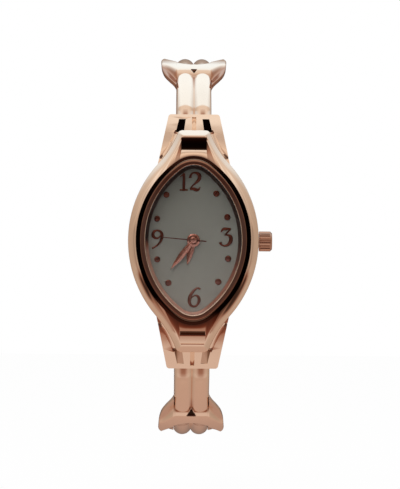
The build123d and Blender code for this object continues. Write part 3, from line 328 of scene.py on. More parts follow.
def paint_darkness(piece: Piece, rule: Callable[[Vector], float]) -> None:
    """Paints how dark a piece is: painted shade and painted dark reflections, mostly in hollows and
    grooves.

    Args:
        piece: The piece.
        rule: Share of dark from 0 to 1 for a place in millimetres.
    """
    marks = piece.data.attributes.new("dark", "FLOAT", "POINT")
    for mark, vertex in zip(marks.data, piece.data.vertices):
        mark.value = rule(vertex.co / MM)


# ---------------------------------------------------------------- finishes


class Nodes:
    """The node tree of a material or a world, with short ways to add to it."""

    def __init__(self, owner: Material | bpy.types.World) -> None:
        """Opens the owner's tree."""
        owner.use_nodes = True
        self.owner, self.tree = owner, owner.node_tree

    def feed(self, node: bpy.types.Node, inputs: dict[str | int, object]) -> None:
        """Sets a node's inputs, each to a plain value or to another node's output."""
        for key, value in inputs.items():
            target = node.inputs[key]
            if isinstance(value, Socket):
                self.tree.links.new(value, target)
            else:
                target.default_value = (*value, 1.0) if target.type == "RGBA" else value

    def add(
        self, kind: str, inputs: dict[str | int, object] | None = None, **settings: object
    ) -> bpy.types.Node:
        """Adds a node.

        Args:
            kind: The node's type without its ShaderNode prefix.
            inputs: What its inputs are set to.
            settings: Its properties.

        Returns:
            The node.
        """
        node = self.tree.nodes.new("ShaderNode" + kind)
        for key, value in settings.items():
            setattr(node, key, value)
        self.feed(node, inputs or {})
        return node

    def math(self, operation: str, *inputs: Socket | float) -> Socket:
        """The result of a sum."""
        return self.add("Math", dict(enumerate(inputs)), operation=operation).outputs[0]

    def place(self) -> Socket:
        """Coordinates on the object."""
        return self.add("TexCoord").outputs["Object"]

    def noise(self, scale: Sequence[float], detail: float, roughness: float = 0.5) -> Socket:
        """A noise pattern on the object.

        Args:
            scale: Repeats per metre along each axis.
            detail: Octaves.
            roughness: Weight of the fine octaves.

        Returns:
            The pattern's value.
        """
        place = self.add("Mapping", {"Vector": self.place(), "Scale": scale}).outputs["Vector"]
        inputs = {"Vector": place, "Scale": 1.0, "Detail": detail, "Roughness": roughness}
        return self.add("TexNoise", inputs).outputs["Fac"]

    def ranged(
        self, value: Socket, low: float, high: float, start: float = 0.3, end: float = 0.7
    ) -> Socket:
        """Maps a value to a range.

        Args:
            value: What is read.
            low: Result at start.
            high: Result at end.
            start: Value that gives low.
            end: Value that gives high.

        Returns:
            The mapped value.
        """
        source = {"Value": value, "From Min": start, "From Max": end}
        return self.add("MapRange", source | {"To Min": low, "To Max": high}).outputs["Result"]

    def mixed(
        self,
        factor: Socket | float,
        first: Socket | Colour,
        second: Socket | Colour,
        blend: str = "MIX",
    ) -> Socket:
        """Mixes two colours.

        Args:
            factor: Share of the second one.
            first: Colour at 0.
            second: Colour at 1.
            blend: How they are mixed.

        Returns:
            The mixed colour.
        """
        inputs = {0: factor, 6: first, 7: second}
        return self.add("Mix", inputs, data_type="RGBA", blend_type=blend).outputs[2]

    def ramp(self, value: Socket, stops: Sequence[tuple[float, Colour]]) -> Socket:
        """Turns a value from 0 to 1 into a colour by stops, each a value and a colour."""
        node = self.add("ValToRGB", {0: value})
        elements = node.color_ramp.elements
        while len(elements) < len(stops):
            elements.new(0.5)
        for element, (position, colour) in zip(elements, stops):
            element.position = position
            element.color = (*colour, 1.0)
        return node.outputs[0]

    def surface(
        self,
        inputs: dict[str | int, object],
        height: Socket | None = None,
        strength: float = 0.0,
        distance: float = 0.0,
    ) -> Material:
        """Sets the surface and raises it by a pattern.

        Args:
            inputs: What the shader's inputs are set to.
            height: The pattern, if there is one.
            strength: How much of the pattern shows.
            distance: Its height in metres.

        Returns:
            The finished material.
        """
        if height is not None:
            relief = {"Height": height, "Strength": strength, "Distance": distance}
            inputs = inputs | {"Normal": self.add("Bump", relief).outputs["Normal"]}
        self.feed(self.tree.nodes["Principled BSDF"], inputs)
        return self.owner


def material_nodes(name: str) -> Nodes:
    """The nodes of a new material."""
    return Nodes(bpy.data.materials.new(name))


def tinted(colour: Colour, factor: float) -> Colour:
    """A colour made darker or lighter by a factor."""
    return tuple(min(1.0, part * factor) for part in colour)


class Grain(Enum):
    """Which way a metal's fine lines run, as repeats per metre along x, y and z."""

    HAIRLINE = (2200.0, 2200.0, 2200.0)
    ALONG_BAND = (9000.0, 500.0, 500.0)
    SIDEWAYS = (500.0, 9000.0, 9000.0)
    FINE = (12000.0, 12000.0, 12000.0)


@dataclass(frozen=True)
class Metal:
    """A metal with a slightly uneven tint, wiping marks in its gloss and a fine grain.

    Its painted shade, read from the dark marks, runs from unshaded over brown to nearly black.
    """

    name: str
    colour: Colour
    roughness: float
    spread: float = 0.04
    grain: Grain = Grain.HAIRLINE
    grain_strength: float = 0.03
    tint: float = 0.06
    metallic: float = 1.0
    unshaded: Colour = (1.0, 1.0, 1.0)
    brown: Colour = (0.5, 0.32, 0.26)
    black: Colour = (0.03, 0.02, 0.016)

    def material(self) -> Material:
        """The finished material."""
        nodes = material_nodes(self.name)
        cloud = nodes.ranged(nodes.noise((160.0, 160.0, 160.0), 4.0), 0.0, 1.0)
        colour = nodes.mixed(cloud, tinted(self.colour, 1.0 - self.tint), self.colour)
        # Painted shade: the dark marks darken the colour where light and reflections would fall
        # dark.
        hollow = nodes.add("Attribute", attribute_name="dark").outputs["Fac"]
        shade = nodes.ramp(hollow, ((0.0, self.unshaded), (0.5, self.brown), (1.0, self.black)))
        marks = nodes.noise((700.0, 700.0, 260.0), 5.0, 0.65)
        inputs = {
            "Metallic": self.metallic,
            "Base Color": nodes.mixed(1.0, colour, shade, "MULTIPLY"),
            "Roughness": nodes.ranged(marks, self.roughness, self.roughness + self.spread),
        }
        return nodes.surface(inputs, nodes.noise(self.grain.value, 2.0), self.grain_strength, 2e-5)


@dataclass(frozen=True)
class Plastic:
    """A moulded or coated surface with a soft sheen and a fine pebble."""

    name: str
    colour: Colour
    roughness: float
    spread: float = 0.12
    pebble: float = 0.06
    shift: float = 0.85

    def material(self) -> Material:
        """The finished material."""
        nodes = material_nodes(self.name)
        cloud = nodes.ranged(nodes.noise((400.0, 400.0, 400.0), 4.0), 0, 1)
        colour = nodes.mixed(cloud, tinted(self.colour, self.shift), self.colour)
        fine = nodes.noise((6000.0, 6000.0, 6000.0), 2.0)
        rough = nodes.ranged(fine, self.roughness, min(1.0, self.roughness + self.spread))
        return nodes.surface({"Base Color": colour, "Roughness": rough}, fine, self.pebble, 3e-5)


@dataclass(frozen=True)
class DialPaint:
    """Grey dial paint with a very fine grain, darker towards 12 o'clock by painted shade."""

    name: str = "dial_paint"
    # top is the grey with painted shade at 12 o'clock, foot the grey with painted light at 6.
    top: Colour = (0.135, 0.145, 0.125)
    foot: Colour = (0.25, 0.25, 0.225)
    reach: float = 12.0
    unevenness: float = 0.12

    def material(self) -> Material:
        """The finished material."""
        nodes = material_nodes(self.name)
        height = nodes.add("SeparateXYZ", {"Vector": nodes.place()}).outputs["Z"]
        fade = nodes.ranged(height, 1.0, 0.0, -self.reach * MM, self.reach * MM)
        grain = nodes.noise((9000.0, 9000.0, 9000.0), 2.0)
        share = nodes.math("MULTIPLY_ADD", grain, self.unevenness, fade)
        colour = nodes.mixed(share, self.top, self.foot)
        rough = nodes.ranged(grain, 0.5, 0.62)
        return nodes.surface({"Base Color": colour, "Roughness": rough}, grain, 0.05, 1e-5)


@dataclass(frozen=True)
class Glass:
    """Clear mineral glass with the faintest wiping marks."""

    name: str = "mineral_glass"
    index: float = 1.45

    def material(self) -> Material:
        """The finished material."""
        nodes = material_nodes(self.name)
        marks = nodes.noise((500.0, 500.0, 180.0), 5.0, 0.65)
        inputs = {"Base Color": (1.0, 1.0, 1.0), "Transmission Weight": 1.0, "IOR": self.index}
        return nodes.surface(inputs | {"Roughness": nodes.ranged(marks, 0.0, 0.03)})


@dataclass(frozen=True)
class Winding:
    """Enamelled copper wire wound side by side along z."""

    name: str = "copper_winding"
    colour: Colour = (0.72, 0.27, 0.12)
    bands: float = 450.0

    def material(self) -> Material:
        """The finished material."""
        nodes = material_nodes(self.name)
        pattern = {"Vector": nodes.place(), "Scale": self.bands, "Distortion": 0.4}
        wave = nodes.add("TexWave", pattern, wave_type="BANDS", bands_direction="Z")
        wires = wave.outputs["Fac"]
        inputs = {
            "Base Color": nodes.mixed(wires, tinted(self.colour, 0.45), self.colour),
            "Metallic": 0.8,
            "Roughness": nodes.ranged(wires, 0.45, 0.25),
        }
        return nodes.surface(inputs, wires, 0.5, 5e-5)


ROSE = (0.98, 0.85, 0.75)
FLANGE = Metal("flange_rose", (0.66, 0.36, 0.28), 0.4, 0.1, Grain.FINE, 0.05, metallic=0.25)
FINISHES = {
    "rose_gold": Metal("polished_rose_gold", ROSE, 0.05, 0.05, grain_strength=0.02),
    "rose_gold_satin": Metal("satin_rose_gold", ROSE, 0.28, 0.1, Grain.ALONG_BAND, 0.12),
    "steel": Metal("brushed_steel", (0.62, 0.61, 0.59), 0.3, 0.1, Grain.SIDEWAYS, 0.12),
    "crystal": Glass(),
    "rubber": Plastic("black_rubber", (0.02, 0.02, 0.02), 0.7),
    "gasket_white": Plastic("white_gasket", (0.75, 0.74, 0.7), 0.45),
    "dial": DialPaint(),
    "marker": Metal("figure_rose_gold", (0.19, 0.085, 0.07), 0.25, 0.1, Grain.FINE, 0.08),
    "hand_gold": Metal("hand_rose_gold", (0.4, 0.185, 0.145), 0.22, 0.08, Grain.FINE, 0.05),
    "hand_dark": Metal("dark_hand", (0.10, 0.04, 0.035), 0.35, 0.1, Grain.FINE, 0.05),
    "brass": Metal("brass", (0.76, 0.56, 0.28), 0.25, 0.1, Grain.FINE, 0.08),
    "copper": Winding(),
    "holder_plastic": Plastic("white_holder", (0.78, 0.77, 0.72), 0.5),
    "board": Plastic("green_board", (0.03, 0.16, 0.07), 0.4),
    "magnet": Metal("magnet", (0.16, 0.16, 0.17), 0.45, 0.12, Grain.FINE, 0.1),
}


# ---------------------------------------------------------------- case and dial


@dataclass
class Lens:
    """The lens shape that the crystal, the dial and the bezel ring share."""

    tip_centre: float = 8.7
    tip_drop: float = 4.4
    side_points: int = 38
    tip_points: int = 18

    @property
    def side_centre(self) -> float:
        """How far the centre of a side's arc lies past the middle."""
        return (self.tip_centre**2 - self.tip_drop**2) / (2 * self.tip_drop)

    def outline(self, half_width: float) -> list[Pair]:
        """The closed outline of the lens that is this wide at 3 o'clock."""
        centre = self.side_centre
        angle = math.degrees(math.atan2(self.tip_centre, centre))
        tip = half_width - self.tip_drop
        quarter = arc((-centre, 0), half_width + centre, 0, angle, self.side_points)
        quarter += arc((0, self.tip_centre), tip, angle, 90, self.tip_points)
        quarter.append((0.0, self.tip_centre + tip))
        return four_fold(quarter)

    def half_width(self, x: float, z: float) -> float:
        """Half width of the lens whose outline passes through a place."""
        centre = self.side_centre
        if abs(z) * centre < self.tip_centre * (abs(x) + centre):
            return math.hypot(abs(x) + centre, z) - centre
        return math.hypot(x, abs(z) - self.tip_centre) + self.tip_drop

    def loop(self, half_width: float, depth: float) -> Loop:
        """The lens as a flat loop at a depth."""
        return [at(x, z, depth) for x, z in self.outline(half_width)]


@dataclass
class Rim:
    """The outer rim, curved to the wrist, with a trapezoid tip at each end.

    The section runs inwards in pairs of inset and drop. The lip follows the lens in pairs
    of half width and drop. A pocket's floor is given in pairs of distance and drop. The
    spans that shade reads are distances from the middle towards 12 or 6 o'clock.
    """

    side_centre: float = -8.0
    side_radius: float = 18.5
    side_end_z: float = 12.3
    flank_centre: Pair = (18.39, 23.49)
    flank_end: Pair = (2.78, 17.2)
    tip_half_width: float = 2.5
    tip_z: float = 18.0
    tip_corner: float = 0.95
    least_corner: float = 0.12
    crest_radius: float = 55.5
    crest_depth: float = 0.2
    pocket_half_width: float = 2.03
    pocket_z: Pair = (14.6, 16.62)
    upper_floor: Points = ((0.0, 0.3), (0.5, 0.5), (1.6, 0.5), (2.1, 0.4))
    lower_floor: Points = (
        (0.0, 0.24), (0.35, 0.1), (0.7, -0.06), (1.1, -0.24), (1.4, -0.37),
        (1.5, -0.36), (1.56, 0.0), (1.8, 0.1), (2.1, 0.0),
    )
    profile: Points = (
        (0.0, 1.3), (0.0, 0.98), (0.02, 0.88), (0.08, 0.79), (0.17, 0.71), (0.45, 0.51),
        (0.72, 0.32), (0.84, 0.25), (0.92, 0.205), (0.99, 0.175), (1.05, 0.155),
    )
    lip: Points = (
        (9.3, 0.0), (9.26, 0.015), (9.23, 0.05), (9.22, 0.12), (9.22, 1.1), (8.84, 1.15),
        (8.84, 1.3),
    )
    # Where the rim's painted shade lies, from here on.
    groove_width: float = 9.25
    black_ends: Pair = (9.0, 11.3)
    shaded_half_width: float = 2.1
    upper_pocket: Pair = (14.5, 16.7)
    lower_wall: Pair = (14.5, 15.12)
    lower_pocket: Pair = (15.12, 16.7)
    lens_side: Pair = (4.0, 14.8)
    below_lens: Pair = (12.0, 14.75)
    black_fade: float = 1.3
    groove_top: Pair = (10.6, 12.8)
    floor_fade: Pair = (15.4, 16.6)
    side_fade: Pair = (4.5, 6.5)
    crest_fade: Pair = (0.16, 0.42)
    brown: float = 0.42

    def outline(self, inset: float) -> list[Pair]:
        """The rim's closed outline, moved inwards, point for point with the lens."""
        end = math.degrees(math.asin(self.side_end_z / self.side_radius))
        quarter = arc((self.side_centre, 0), self.side_radius - inset, 0, end, 22)
        centre = Vector(self.flank_centre)
        last = Vector(self.flank_end) - centre
        reach = last.length + inset
        last_angle = math.degrees(math.atan2(last.y, last.x))
        quarter += arc(self.flank_centre, reach, end - 180, last_angle, 16)
        flank_stop = centre + last.normalized() * reach
        along = (Vector((self.tip_half_width, self.tip_z)) - Vector(self.flank_end)).normalized()
        inward = Vector((-along.y, along.x))
        foot = Vector(self.flank_end) + inward * inset
        top = self.tip_z - inset
        corner = foot + along * ((top - foot.y) / along.y)
        radius = max(self.tip_corner - inset, self.least_corner)
        half = math.acos(max(-1.0, min(1.0, along.dot(Vector((-1, 0)))))) / 2
        back = radius * math.tan(half)
        start = corner - along * back
        first_angle = math.degrees(math.atan2(-inward.y, -inward.x))
        quarter += line(tuple(flank_stop), tuple(start), 5)
        quarter += arc(tuple(start + inward * radius), radius, first_angle, 90, 8)
        quarter += line((corner.x - back, top), (0.0, top), 5)
        quarter.append((0.0, top))
        return four_fold(quarter)

    def surface(self, z: float, drop: float) -> float:
        """Depth of the rim's curved top at a height, below it by a drop."""
        rise = math.sqrt((self.crest_radius - drop) ** 2 - z * z)
        return self.crest_depth + self.crest_radius - rise

    def loop(self, outline: Sequence[Pair], drop: float) -> Loop:
        """An outline laid on the curved top."""
        return [at(x, z, self.surface(z, drop)) for x, z in outline]

    def build(self, lens: Lens, material: Material) -> Piece:
        """Builds the rim with a pocket through each tip.

        Args:
            lens: The shape of its opening.
            material: Its material.

        Returns:
            The piece.
        """
        loops = [self.loop(self.outline(inset), drop) for inset, drop in self.profile]
        loops += [self.loop(lens.outline(width), drop) for width, drop in self.lip]
        piece = loft("rim", loops, ring=True)
        low, high = self.pocket_z
        size = Vector((2 * self.pocket_half_width, 10.0, high - low)) * MM
        for end in (1, -1):
            bpy.ops.mesh.primitive_cube_add(size=1.0)
            cutter = bpy.context.object
            middle = Matrix.Translation(at(0, end * (low + high) / 2, 2.0))
            settle(cutter, middle @ Matrix.Diagonal((*size, 1)))
            cut(piece, cutter)
        soften(piece, 0.07, 50)
        piece = join("rim", [piece] + [self.pocket_floor(end) for end in (1, -1)])
        smooth(piece, 32)
        paint_darkness(piece, lambda place: self.shade(lens, place))
        return finish_piece(piece, material, "case", ["bezel_frame"])

    def pocket_floor(self, end: int) -> Piece:
        """The sloping floor of the pocket at 12 o'clock (end 1) or at 6 o'clock (end -1)."""
        width, high = self.pocket_half_width + 0.03, self.pocket_z[1] + 0.03
        loops = []
        for back, drop in self.upper_floor if end > 0 else self.lower_floor:
            depth = self.surface(high, 0.0) + drop
            corners = ((-width, depth), (width, depth), (width, depth + 0.5), (-width, depth + 0.5))
            loops.append([at(x, end * (high - back), y) for x, y in corners])
        return loft("scoop", loops)

    def shade(self, lens: Lens, place: Vector) -> float:
        """Painted shade on the rim at a place.

        Painted shade and painted dark reflections: black in the groove and the upper pocket and
        beside the lower end of the lens, and brown from there to the lower pocket.

        Args:
            lens: The shape of its opening.
            place: The place in millimetres.

        Returns:
            The share of dark.
        """
        below = place.y - FRONT_Y - self.surface(place.z, 0.0)
        inside = abs(place.x) < self.shaded_half_width
        left, right = self.black_ends
        turn = left if place.x < 0 else right
        foot = eased(-place.z, turn, turn + self.black_fade)
        if lens.half_width(place.x, place.z) < self.groove_width and below > 0.08:
            return 1.0 - 0.5 * foot - self.brown * eased(place.z, *self.groove_top)
        if within(place.z, self.upper_pocket) and inside and below > 0.1:
            return 1.0
        if within(-place.z, self.lower_wall) and inside and below > 0.2:
            return 0.9
        if within(-place.z, self.lower_pocket) and inside and below > 0.01:
            return 0.3 * (1 - eased(-place.z, *self.floor_fade))
        if within(-place.z, self.lens_side) and -0.05 < below < 0.4:
            crest = 1 - eased(below, *self.crest_fade)
            return (0.95 - 0.53 * foot) * eased(-place.z, *self.side_fade) * crest
        return self.brown if within(-place.z, self.below_lens) and inside and below < 1.2 else 0.0


@dataclass
class LensSweep:
    """A piece swept round the lens from its section in pairs of half width and depth."""

    name: str
    profile: Points
    nodes: tuple[str, ...] = ()
    degrees: float = 30.0

    def shade(self, lens: Lens, place: Vector) -> float:
        """How much painted shade it has at a place."""
        return 0.0

    def build(self, lens: Lens, material: Material) -> Piece:
        """Builds the closed ring.

        Args:
            lens: The shape that it follows.
            material: Its material.

        Returns:
            The piece.
        """
        loops = [lens.loop(width, depth) for width, depth in self.profile]
        piece = loft(self.name, loops, ring=True)
        smooth(piece, self.degrees)
        paint_darkness(piece, lambda place: self.shade(lens, place))
        return finish_piece(piece, material, "case", self.nodes)


@dataclass
class BezelRing(LensSweep):
    """The rounded inner ring round the crystal."""

    name: str = "ring"
    profile: Points = (
        (8.8, 3.3), (8.8, 0.95), (8.78, 0.85), (8.6, 0.2), (8.57, 0.1), (8.53, 0.06),
        (8.46, 0.04), (8.2, 0.02), (8.0, 0.0), (7.86, 0.008), (7.8, 0.03), (7.77, 0.07),
        (7.76, 0.13), (7.76, 0.3), (7.93, 0.32), (7.93, 1.15), (7.74, 1.15), (7.74, 1.25),
        (7.4, 2.4), (7.38, 2.5), (8.35, 2.5), (8.35, 3.3),
    )
    nodes: tuple[str, ...] = ("bezel_ring",)
    degrees: float = 38.0
    crest: float = 8.2
    top_fade: Pair = (3.0, 10.0)
    outer_fade: Pair = (8.46, 8.56)
    foot_fade: Pair = (-7.0, -1.0)
    wall_fade: Pair = (0.1, 0.4)

    def shade(self, lens: Lens, place: Vector) -> float:
        """Painted shade: dark outside the crest, down the wall except at 6 o'clock, and near 12."""
        width = lens.half_width(place.x, place.z)
        top = 0.4 * eased(place.z, *self.top_fade)
        if width > self.crest:
            return max(top, eased(width, *self.outer_fade))
        wall = 0.2 + 0.8 * eased(place.z, *self.foot_fade)
        return max(top, wall * eased(place.y - FRONT_Y, *self.wall_fade))


@dataclass
class Flange(LensSweep):
    """The sloping wall between the glass and the dial, just inside the ring's own."""

    name: str = "flange"
    profile: Points = (
        (7.735, 1.16), (7.7, 1.16), (7.69, 1.2), (7.45, 1.75), (7.17, 2.42), (7.16, 2.49),
        (7.22, 2.49),
    )

    def shade(self, lens: Lens, place: Vector) -> float:
        """Painted shade: black at 12 o'clock, brown at 4, rose from 6 to 8."""
        low = eased(-place.z, -0.5, 2.0 + max(0.0, place.x))
        return 1.0 - low * (0.95 - 0.4 * eased(place.x, 0.5, 3.0))


@dataclass
class Crystal:
    """The glass, with a polished bevel round its top."""

    profile: Points = ((7.757, 1.15), (7.757, 0.36), (7.745, 0.33), (7.72, 0.305), (7.69, 0.3))

    def build(self, lens: Lens, material: Material) -> Piece:
        """Builds the glass, which lets the light through to the dial.

        Args:
            lens: The shape that it follows.
            material: Its material.

        Returns:
            The piece.
        """
        piece = loft("glass", [lens.loop(width, depth) for width, depth in self.profile])
        smooth(piece, 30)
        piece.visible_shadow = False
        return finish_piece(piece, material, "case", ["crystal"])


def dial_shade(place: Vector) -> float:
    """Painted shade on the dial's figures and dots: most towards 12 o'clock."""
    return 0.5 * eased(place.z, -7.0, 1.0)


@dataclass
class Dots:
    """The eight domed dots of the dial."""

    places: Points = (
        (3.62, 7.53), (5.39, 3.78), (5.56, -2.89), (3.99, -6.6),
        (-3.92, -6.82), (-5.73, -3.08), (-5.81, 3.43), (-4.35, 7.29),
    )
    profile: Points = (
        (0.5, 2.5), (0.5, 2.4), (0.47, 2.34), (0.38, 2.295), (0.24, 2.283), (0.08, 2.28),
    )

    def build(self, material: Material) -> Piece:
        """Builds one dot, copies it to each hour and joins the copies."""
        first = loft("dot", circles(self.profile, 24))
        smooth(first, 60)
        moves = [Matrix.Translation(Vector((x, 0, z)) * MM) for x, z in self.places]
        dots = [copy_of(first, move) for move in moves]
        take(first)
        bpy.ops.object.delete()
        piece = join("dots", dots)
        paint_darkness(piece, dial_shade)
        return finish_piece(piece, material, "case", ["hour_markers"])


@dataclass
class Hand:
    """A leaf-shaped hand with a ridge down its middle, on a dished hub."""

    name: str
    length: float
    width: float
    depth: float
    angle: float
    hub_radius: float
    bore: float
    thickness: float = 0.12
    ridge: float = 0.07
    neck: float = 0.12
    stations: int = 16

    def blade(self) -> Piece:
        """The leaf, pointing to 12 o'clock."""
        top, base = self.depth, self.depth + self.thickness
        low = top + self.ridge
        loops = []
        for step in range(self.stations + 1):
            along = step / self.stations
            swell = math.sin(math.pi * min(1.0, (along + 0.02)) ** 0.86) ** 0.9
            half = max(0.025, self.width / 2 * swell)
            if along < 0.12:
                half = max(half, self.neck)
            section = ((1, base), (1, low), (0.5, (top + low) / 2), (0, top))
            section += ((-0.5, (top + low) / 2), (-1, low), (-1, base))
            loops.append([at(half * x, along * self.length, y) for x, y in section])
        return loft(self.name, loops)

    def hub(self) -> Piece:
        """The hub: a flat ring with a raised edge."""
        top, base = self.depth, self.depth + self.thickness
        profile = (
            (self.bore, base),
            (self.hub_radius, base),
            (self.hub_radius, top + 0.03),
            (self.hub_radius - 0.06, top),
            (self.hub_radius - 0.2, top),
            (self.hub_radius - 0.27, top + 0.05),
            (self.bore, top + 0.05),
        )
        return loft(self.name + "_hub", circles(profile, 48), ring=True)

    def build(self, material: Material, body: str, node: str) -> Piece:
        """Builds the hand and turns it to its hour.

        Args:
            material: Its material.
            body: The body that it turns with.
            node: The node that it stands for.

        Returns:
            The piece.
        """
        blade, hub = self.blade(), self.hub()
        smooth(blade, 12)
        smooth(hub, 30)
        piece = join(self.name, [blade, hub])
        settle(piece, Matrix.Rotation(math.radians(self.angle), 4, "Y"))
        return finish_piece(piece, material, body, [node])


@dataclass
class SecondHand:
    """A thin tapering hand with a tail, under a bright cap."""

    length: float = 5.35
    tail: float = 2.1
    depth: float = 1.56
    thickness: float = 0.12
    shoulder: float = 0.03
    angle: float = 275.0
    taper: Points = ((-1.0, 0.095), (-0.55, 0.1), (0.0, 0.1), (0.5, 0.08), (1.0, 0.05))
    cap: Points = (
        (0.55, 1.68), (0.55, 1.5), (0.52, 1.44), (0.44, 1.395), (0.3, 1.368), (0.1, 1.36),
    )

    def build(self, material: Material, cap_material: Material) -> Piece:
        """Builds the needle and its cap.

        Args:
            material: The needle's material.
            cap_material: The cap's material.

        Returns:
            The needle.
        """
        top, base = self.depth, self.depth + self.thickness
        edge = top + self.shoulder
        section = ((1, base), (1, edge), (0.5, top), (-0.5, top), (-1, edge), (-1, base))
        loops = []
        for along, half in self.taper:
            z = along * (self.length if along > 0 else self.tail)
            loops.append([at(half * x, z, y) for x, y in section])
        needle = loft("second_needle", loops)
        smooth(needle, 30)
        settle(needle, Matrix.Rotation(math.radians(self.angle), 4, "Y"))
        cap = loft("second_cap", circles(self.cap, 40))
        smooth(cap, 50)
        finish_piece(cap, cap_material, "seconds")
        return finish_piece(needle, material, "seconds", ["second_hand"])


@dataclass(frozen=True)
class Stroke:
    """One pen stroke of a figure: places with the pen's half width at each."""

    points: tuple[tuple[float, float, float], ...]
    curved: bool = True

    def draw(self, place: Pair, stretch: Pair, boldness: float) -> Piece:
        """Draws the stroke as a round mesh.

        Args:
            place: Middle of its figure.
            stretch: Size of the figure across and up.
            boldness: Factor on the pen's width.

        Returns:
            The stroke.
        """
        deselect_all()
        bpy.ops.curve.primitive_nurbs_path_add()
        curve = bpy.context.object
        curve.data.splines.clear()
        spline = curve.data.splines.new("NURBS" if self.curved else "POLY")
        spline.points.add(len(self.points) - 1)
        for point, (x, z, half) in zip(spline.points, self.points):
            across, up = place[0] + x * stretch[0], place[1] + z * stretch[1]
            point.co = (across * MM, 0.0, up * MM, 1.0)
            point.radius = half * boldness
        if self.curved:
            spline.order_u = 3
            spline.use_endpoint_u = True
            spline.resolution_u = 10
        curve.data.bevel_depth = MM
        curve.data.bevel_resolution = 3
        curve.data.use_fill_caps = True
        take(curve)
        bpy.ops.object.convert(target="MESH")
        return bpy.context.object


def pen(*points: tuple[float, float, float], curved: bool = True) -> Stroke:
    """A stroke through places, each with the pen's half width."""
    return Stroke(points, curved)


@dataclass
class Figure:
    """An applied figure of the dial, drawn as pen strokes."""

    name: str
    place: Pair
    strokes: tuple[Stroke, ...]
    stretch: Pair
    boldness: float = 1.3
    depth: float = 2.5
    height: float = 0.2

    def build(self, material: Material) -> Piece:
        """Draws the strokes, flattens them onto the dial and joins them."""
        parts = []
        for stroke in self.strokes:
            part = stroke.draw(self.place, self.stretch, self.boldness)
            widest = max(abs(v.co.y) for v in part.data.vertices)
            flatten = self.height * MM / widest
            for vertex in part.data.vertices:
                vertex.co.y = (FRONT_Y + self.depth) * MM + min(0.0, vertex.co.y * flatten)
            parts.append(part)
        piece = join(self.name, parts)
        smooth(piece, 50)
        paint_darkness(piece, dial_shade)
        return finish_piece(piece, material, "case")


ONE = (
    pen((-1.62, 0.95, 0.05), (-1.3, 1.12, 0.1), (-0.98, 1.52, 0.13), (-0.92, 1.56, 0.13)),
    pen((-0.93, 1.56, 0.17), (-0.95, -1.5, 0.19), curved=False),
    pen((-1.62, -1.52, 0.1), (-0.95, -1.5, 0.13), (-0.3, -1.52, 0.1), curved=False),
)
TWO = (
    pen(
        (0.1, 0.72, 0.2), (0.08, 1.3, 0.13), (0.75, 1.85, 0.1), (1.62, 1.4, 0.26),
        (1.6, 0.5, 0.24), (0.9, -0.3, 0.12), (0.35, -0.8, 0.09), (0.1, -1.42, 0.1),
    ),
    pen(
        (0.08, -1.48, 0.08), (0.5, -1.22, 0.2), (1.05, -1.5, 0.24), (1.5, -1.5, 0.14),
        (1.72, -0.95, 0.06),
    ),
)
THREE = (
    pen((-0.72, 0.85, 0.06), (-0.45, 1.4, 0.18), (0.1, 1.42, 0.2), (0.95, 1.46, 0.1)),
    pen((0.92, 1.42, 0.09), (0.5, 0.95, 0.09), (-0.05, 0.3, 0.1), curved=False),
    pen(
        (-0.08, 0.3, 0.08), (0.4, 0.42, 0.12), (1.05, 0.05, 0.24), (0.95, -0.95, 0.26),
        (0.2, -1.6, 0.13), (-0.7, -1.5, 0.1), (-0.85, -0.95, 0.2),
    ),
)
SIX = (
    pen(
        (0.95, 1.3, 0.16), (0.6, 1.68, 0.1), (-0.1, 1.2, 0.15), (-0.85, 0.2, 0.22),
        (-1.0, -0.9, 0.22), (-0.5, -1.62, 0.14), (0.3, -1.6, 0.12), (0.85, -0.7, 0.2),
        (0.7, 0.05, 0.18), (0.2, 0.35, 0.1), (-0.5, 0.0, 0.07), (-0.8, -0.45, 0.06),
    ),
)
NINE = (
    pen(
        (0.66, 0.9, 0.06), (0.3, 0.25, 0.1), (-0.35, 0.2, 0.16), (-0.85, 0.7, 0.22),
        (-0.6, 1.5, 0.17), (0.15, 1.68, 0.12), (0.75, 1.25, 0.2), (0.85, 0.35, 0.2),
        (0.35, -0.75, 0.14), (-0.4, -1.35, 0.1), (-0.9, -1.58, 0.13),
    ),
)
FIGURES = (
    Figure("figure_12", (-0.65, 9.39), ONE + TWO, (0.98, 0.86)),
    Figure("figure_3", (5.08, 0.6), THREE, (0.92, 0.91)),
    Figure("figure_6", (0.27, -9.06), SIX, (0.9, 0.94)),
    Figure("figure_9", (-5.74, 0.1), NINE, (0.93, 0.9)),
)


# ---------------------------------------------------------------- band


class Half(Enum):
    """A half of the hoop: 1 for the one at 12 o'clock, -1 for the one at 6 o'clock."""

    UPPER = 1
    LOWER = -1


@dataclass
class BandPiece:
    """A piece of one half of the hoop, which is bent round a centre behind the dial."""

    radius: float = 27.5
    centre_z: float = 4.6
    degrees: float = 40.0

    def loops(self, end: int) -> list[Loop]:
        """The piece's sections along the band, for one end of the watch."""
        raise NotImplementedError

    def shade(self, place: Vector, end: int) -> float:
        """How much painted shade the piece has at a place, for one end of the watch."""
        raise NotImplementedError

    def build(self, material: Material, half: Half, kind: str) -> Piece:
        """Sweeps the piece's section along the band.

        Args:
            material: Its material.
            half: The half of the band that it is on.
            kind: Its node's name, without the half's.

        Returns:
            The piece.
        """
        side, end = half.name.lower(), half.value
        node = f"{side}_{kind}"
        piece = loft(node + "_form", self.loops(end))
        smooth(piece, self.degrees)
        paint_darkness(piece, lambda place: self.shade(place, end))
        return finish_piece(piece, material, side + "_band", [node])


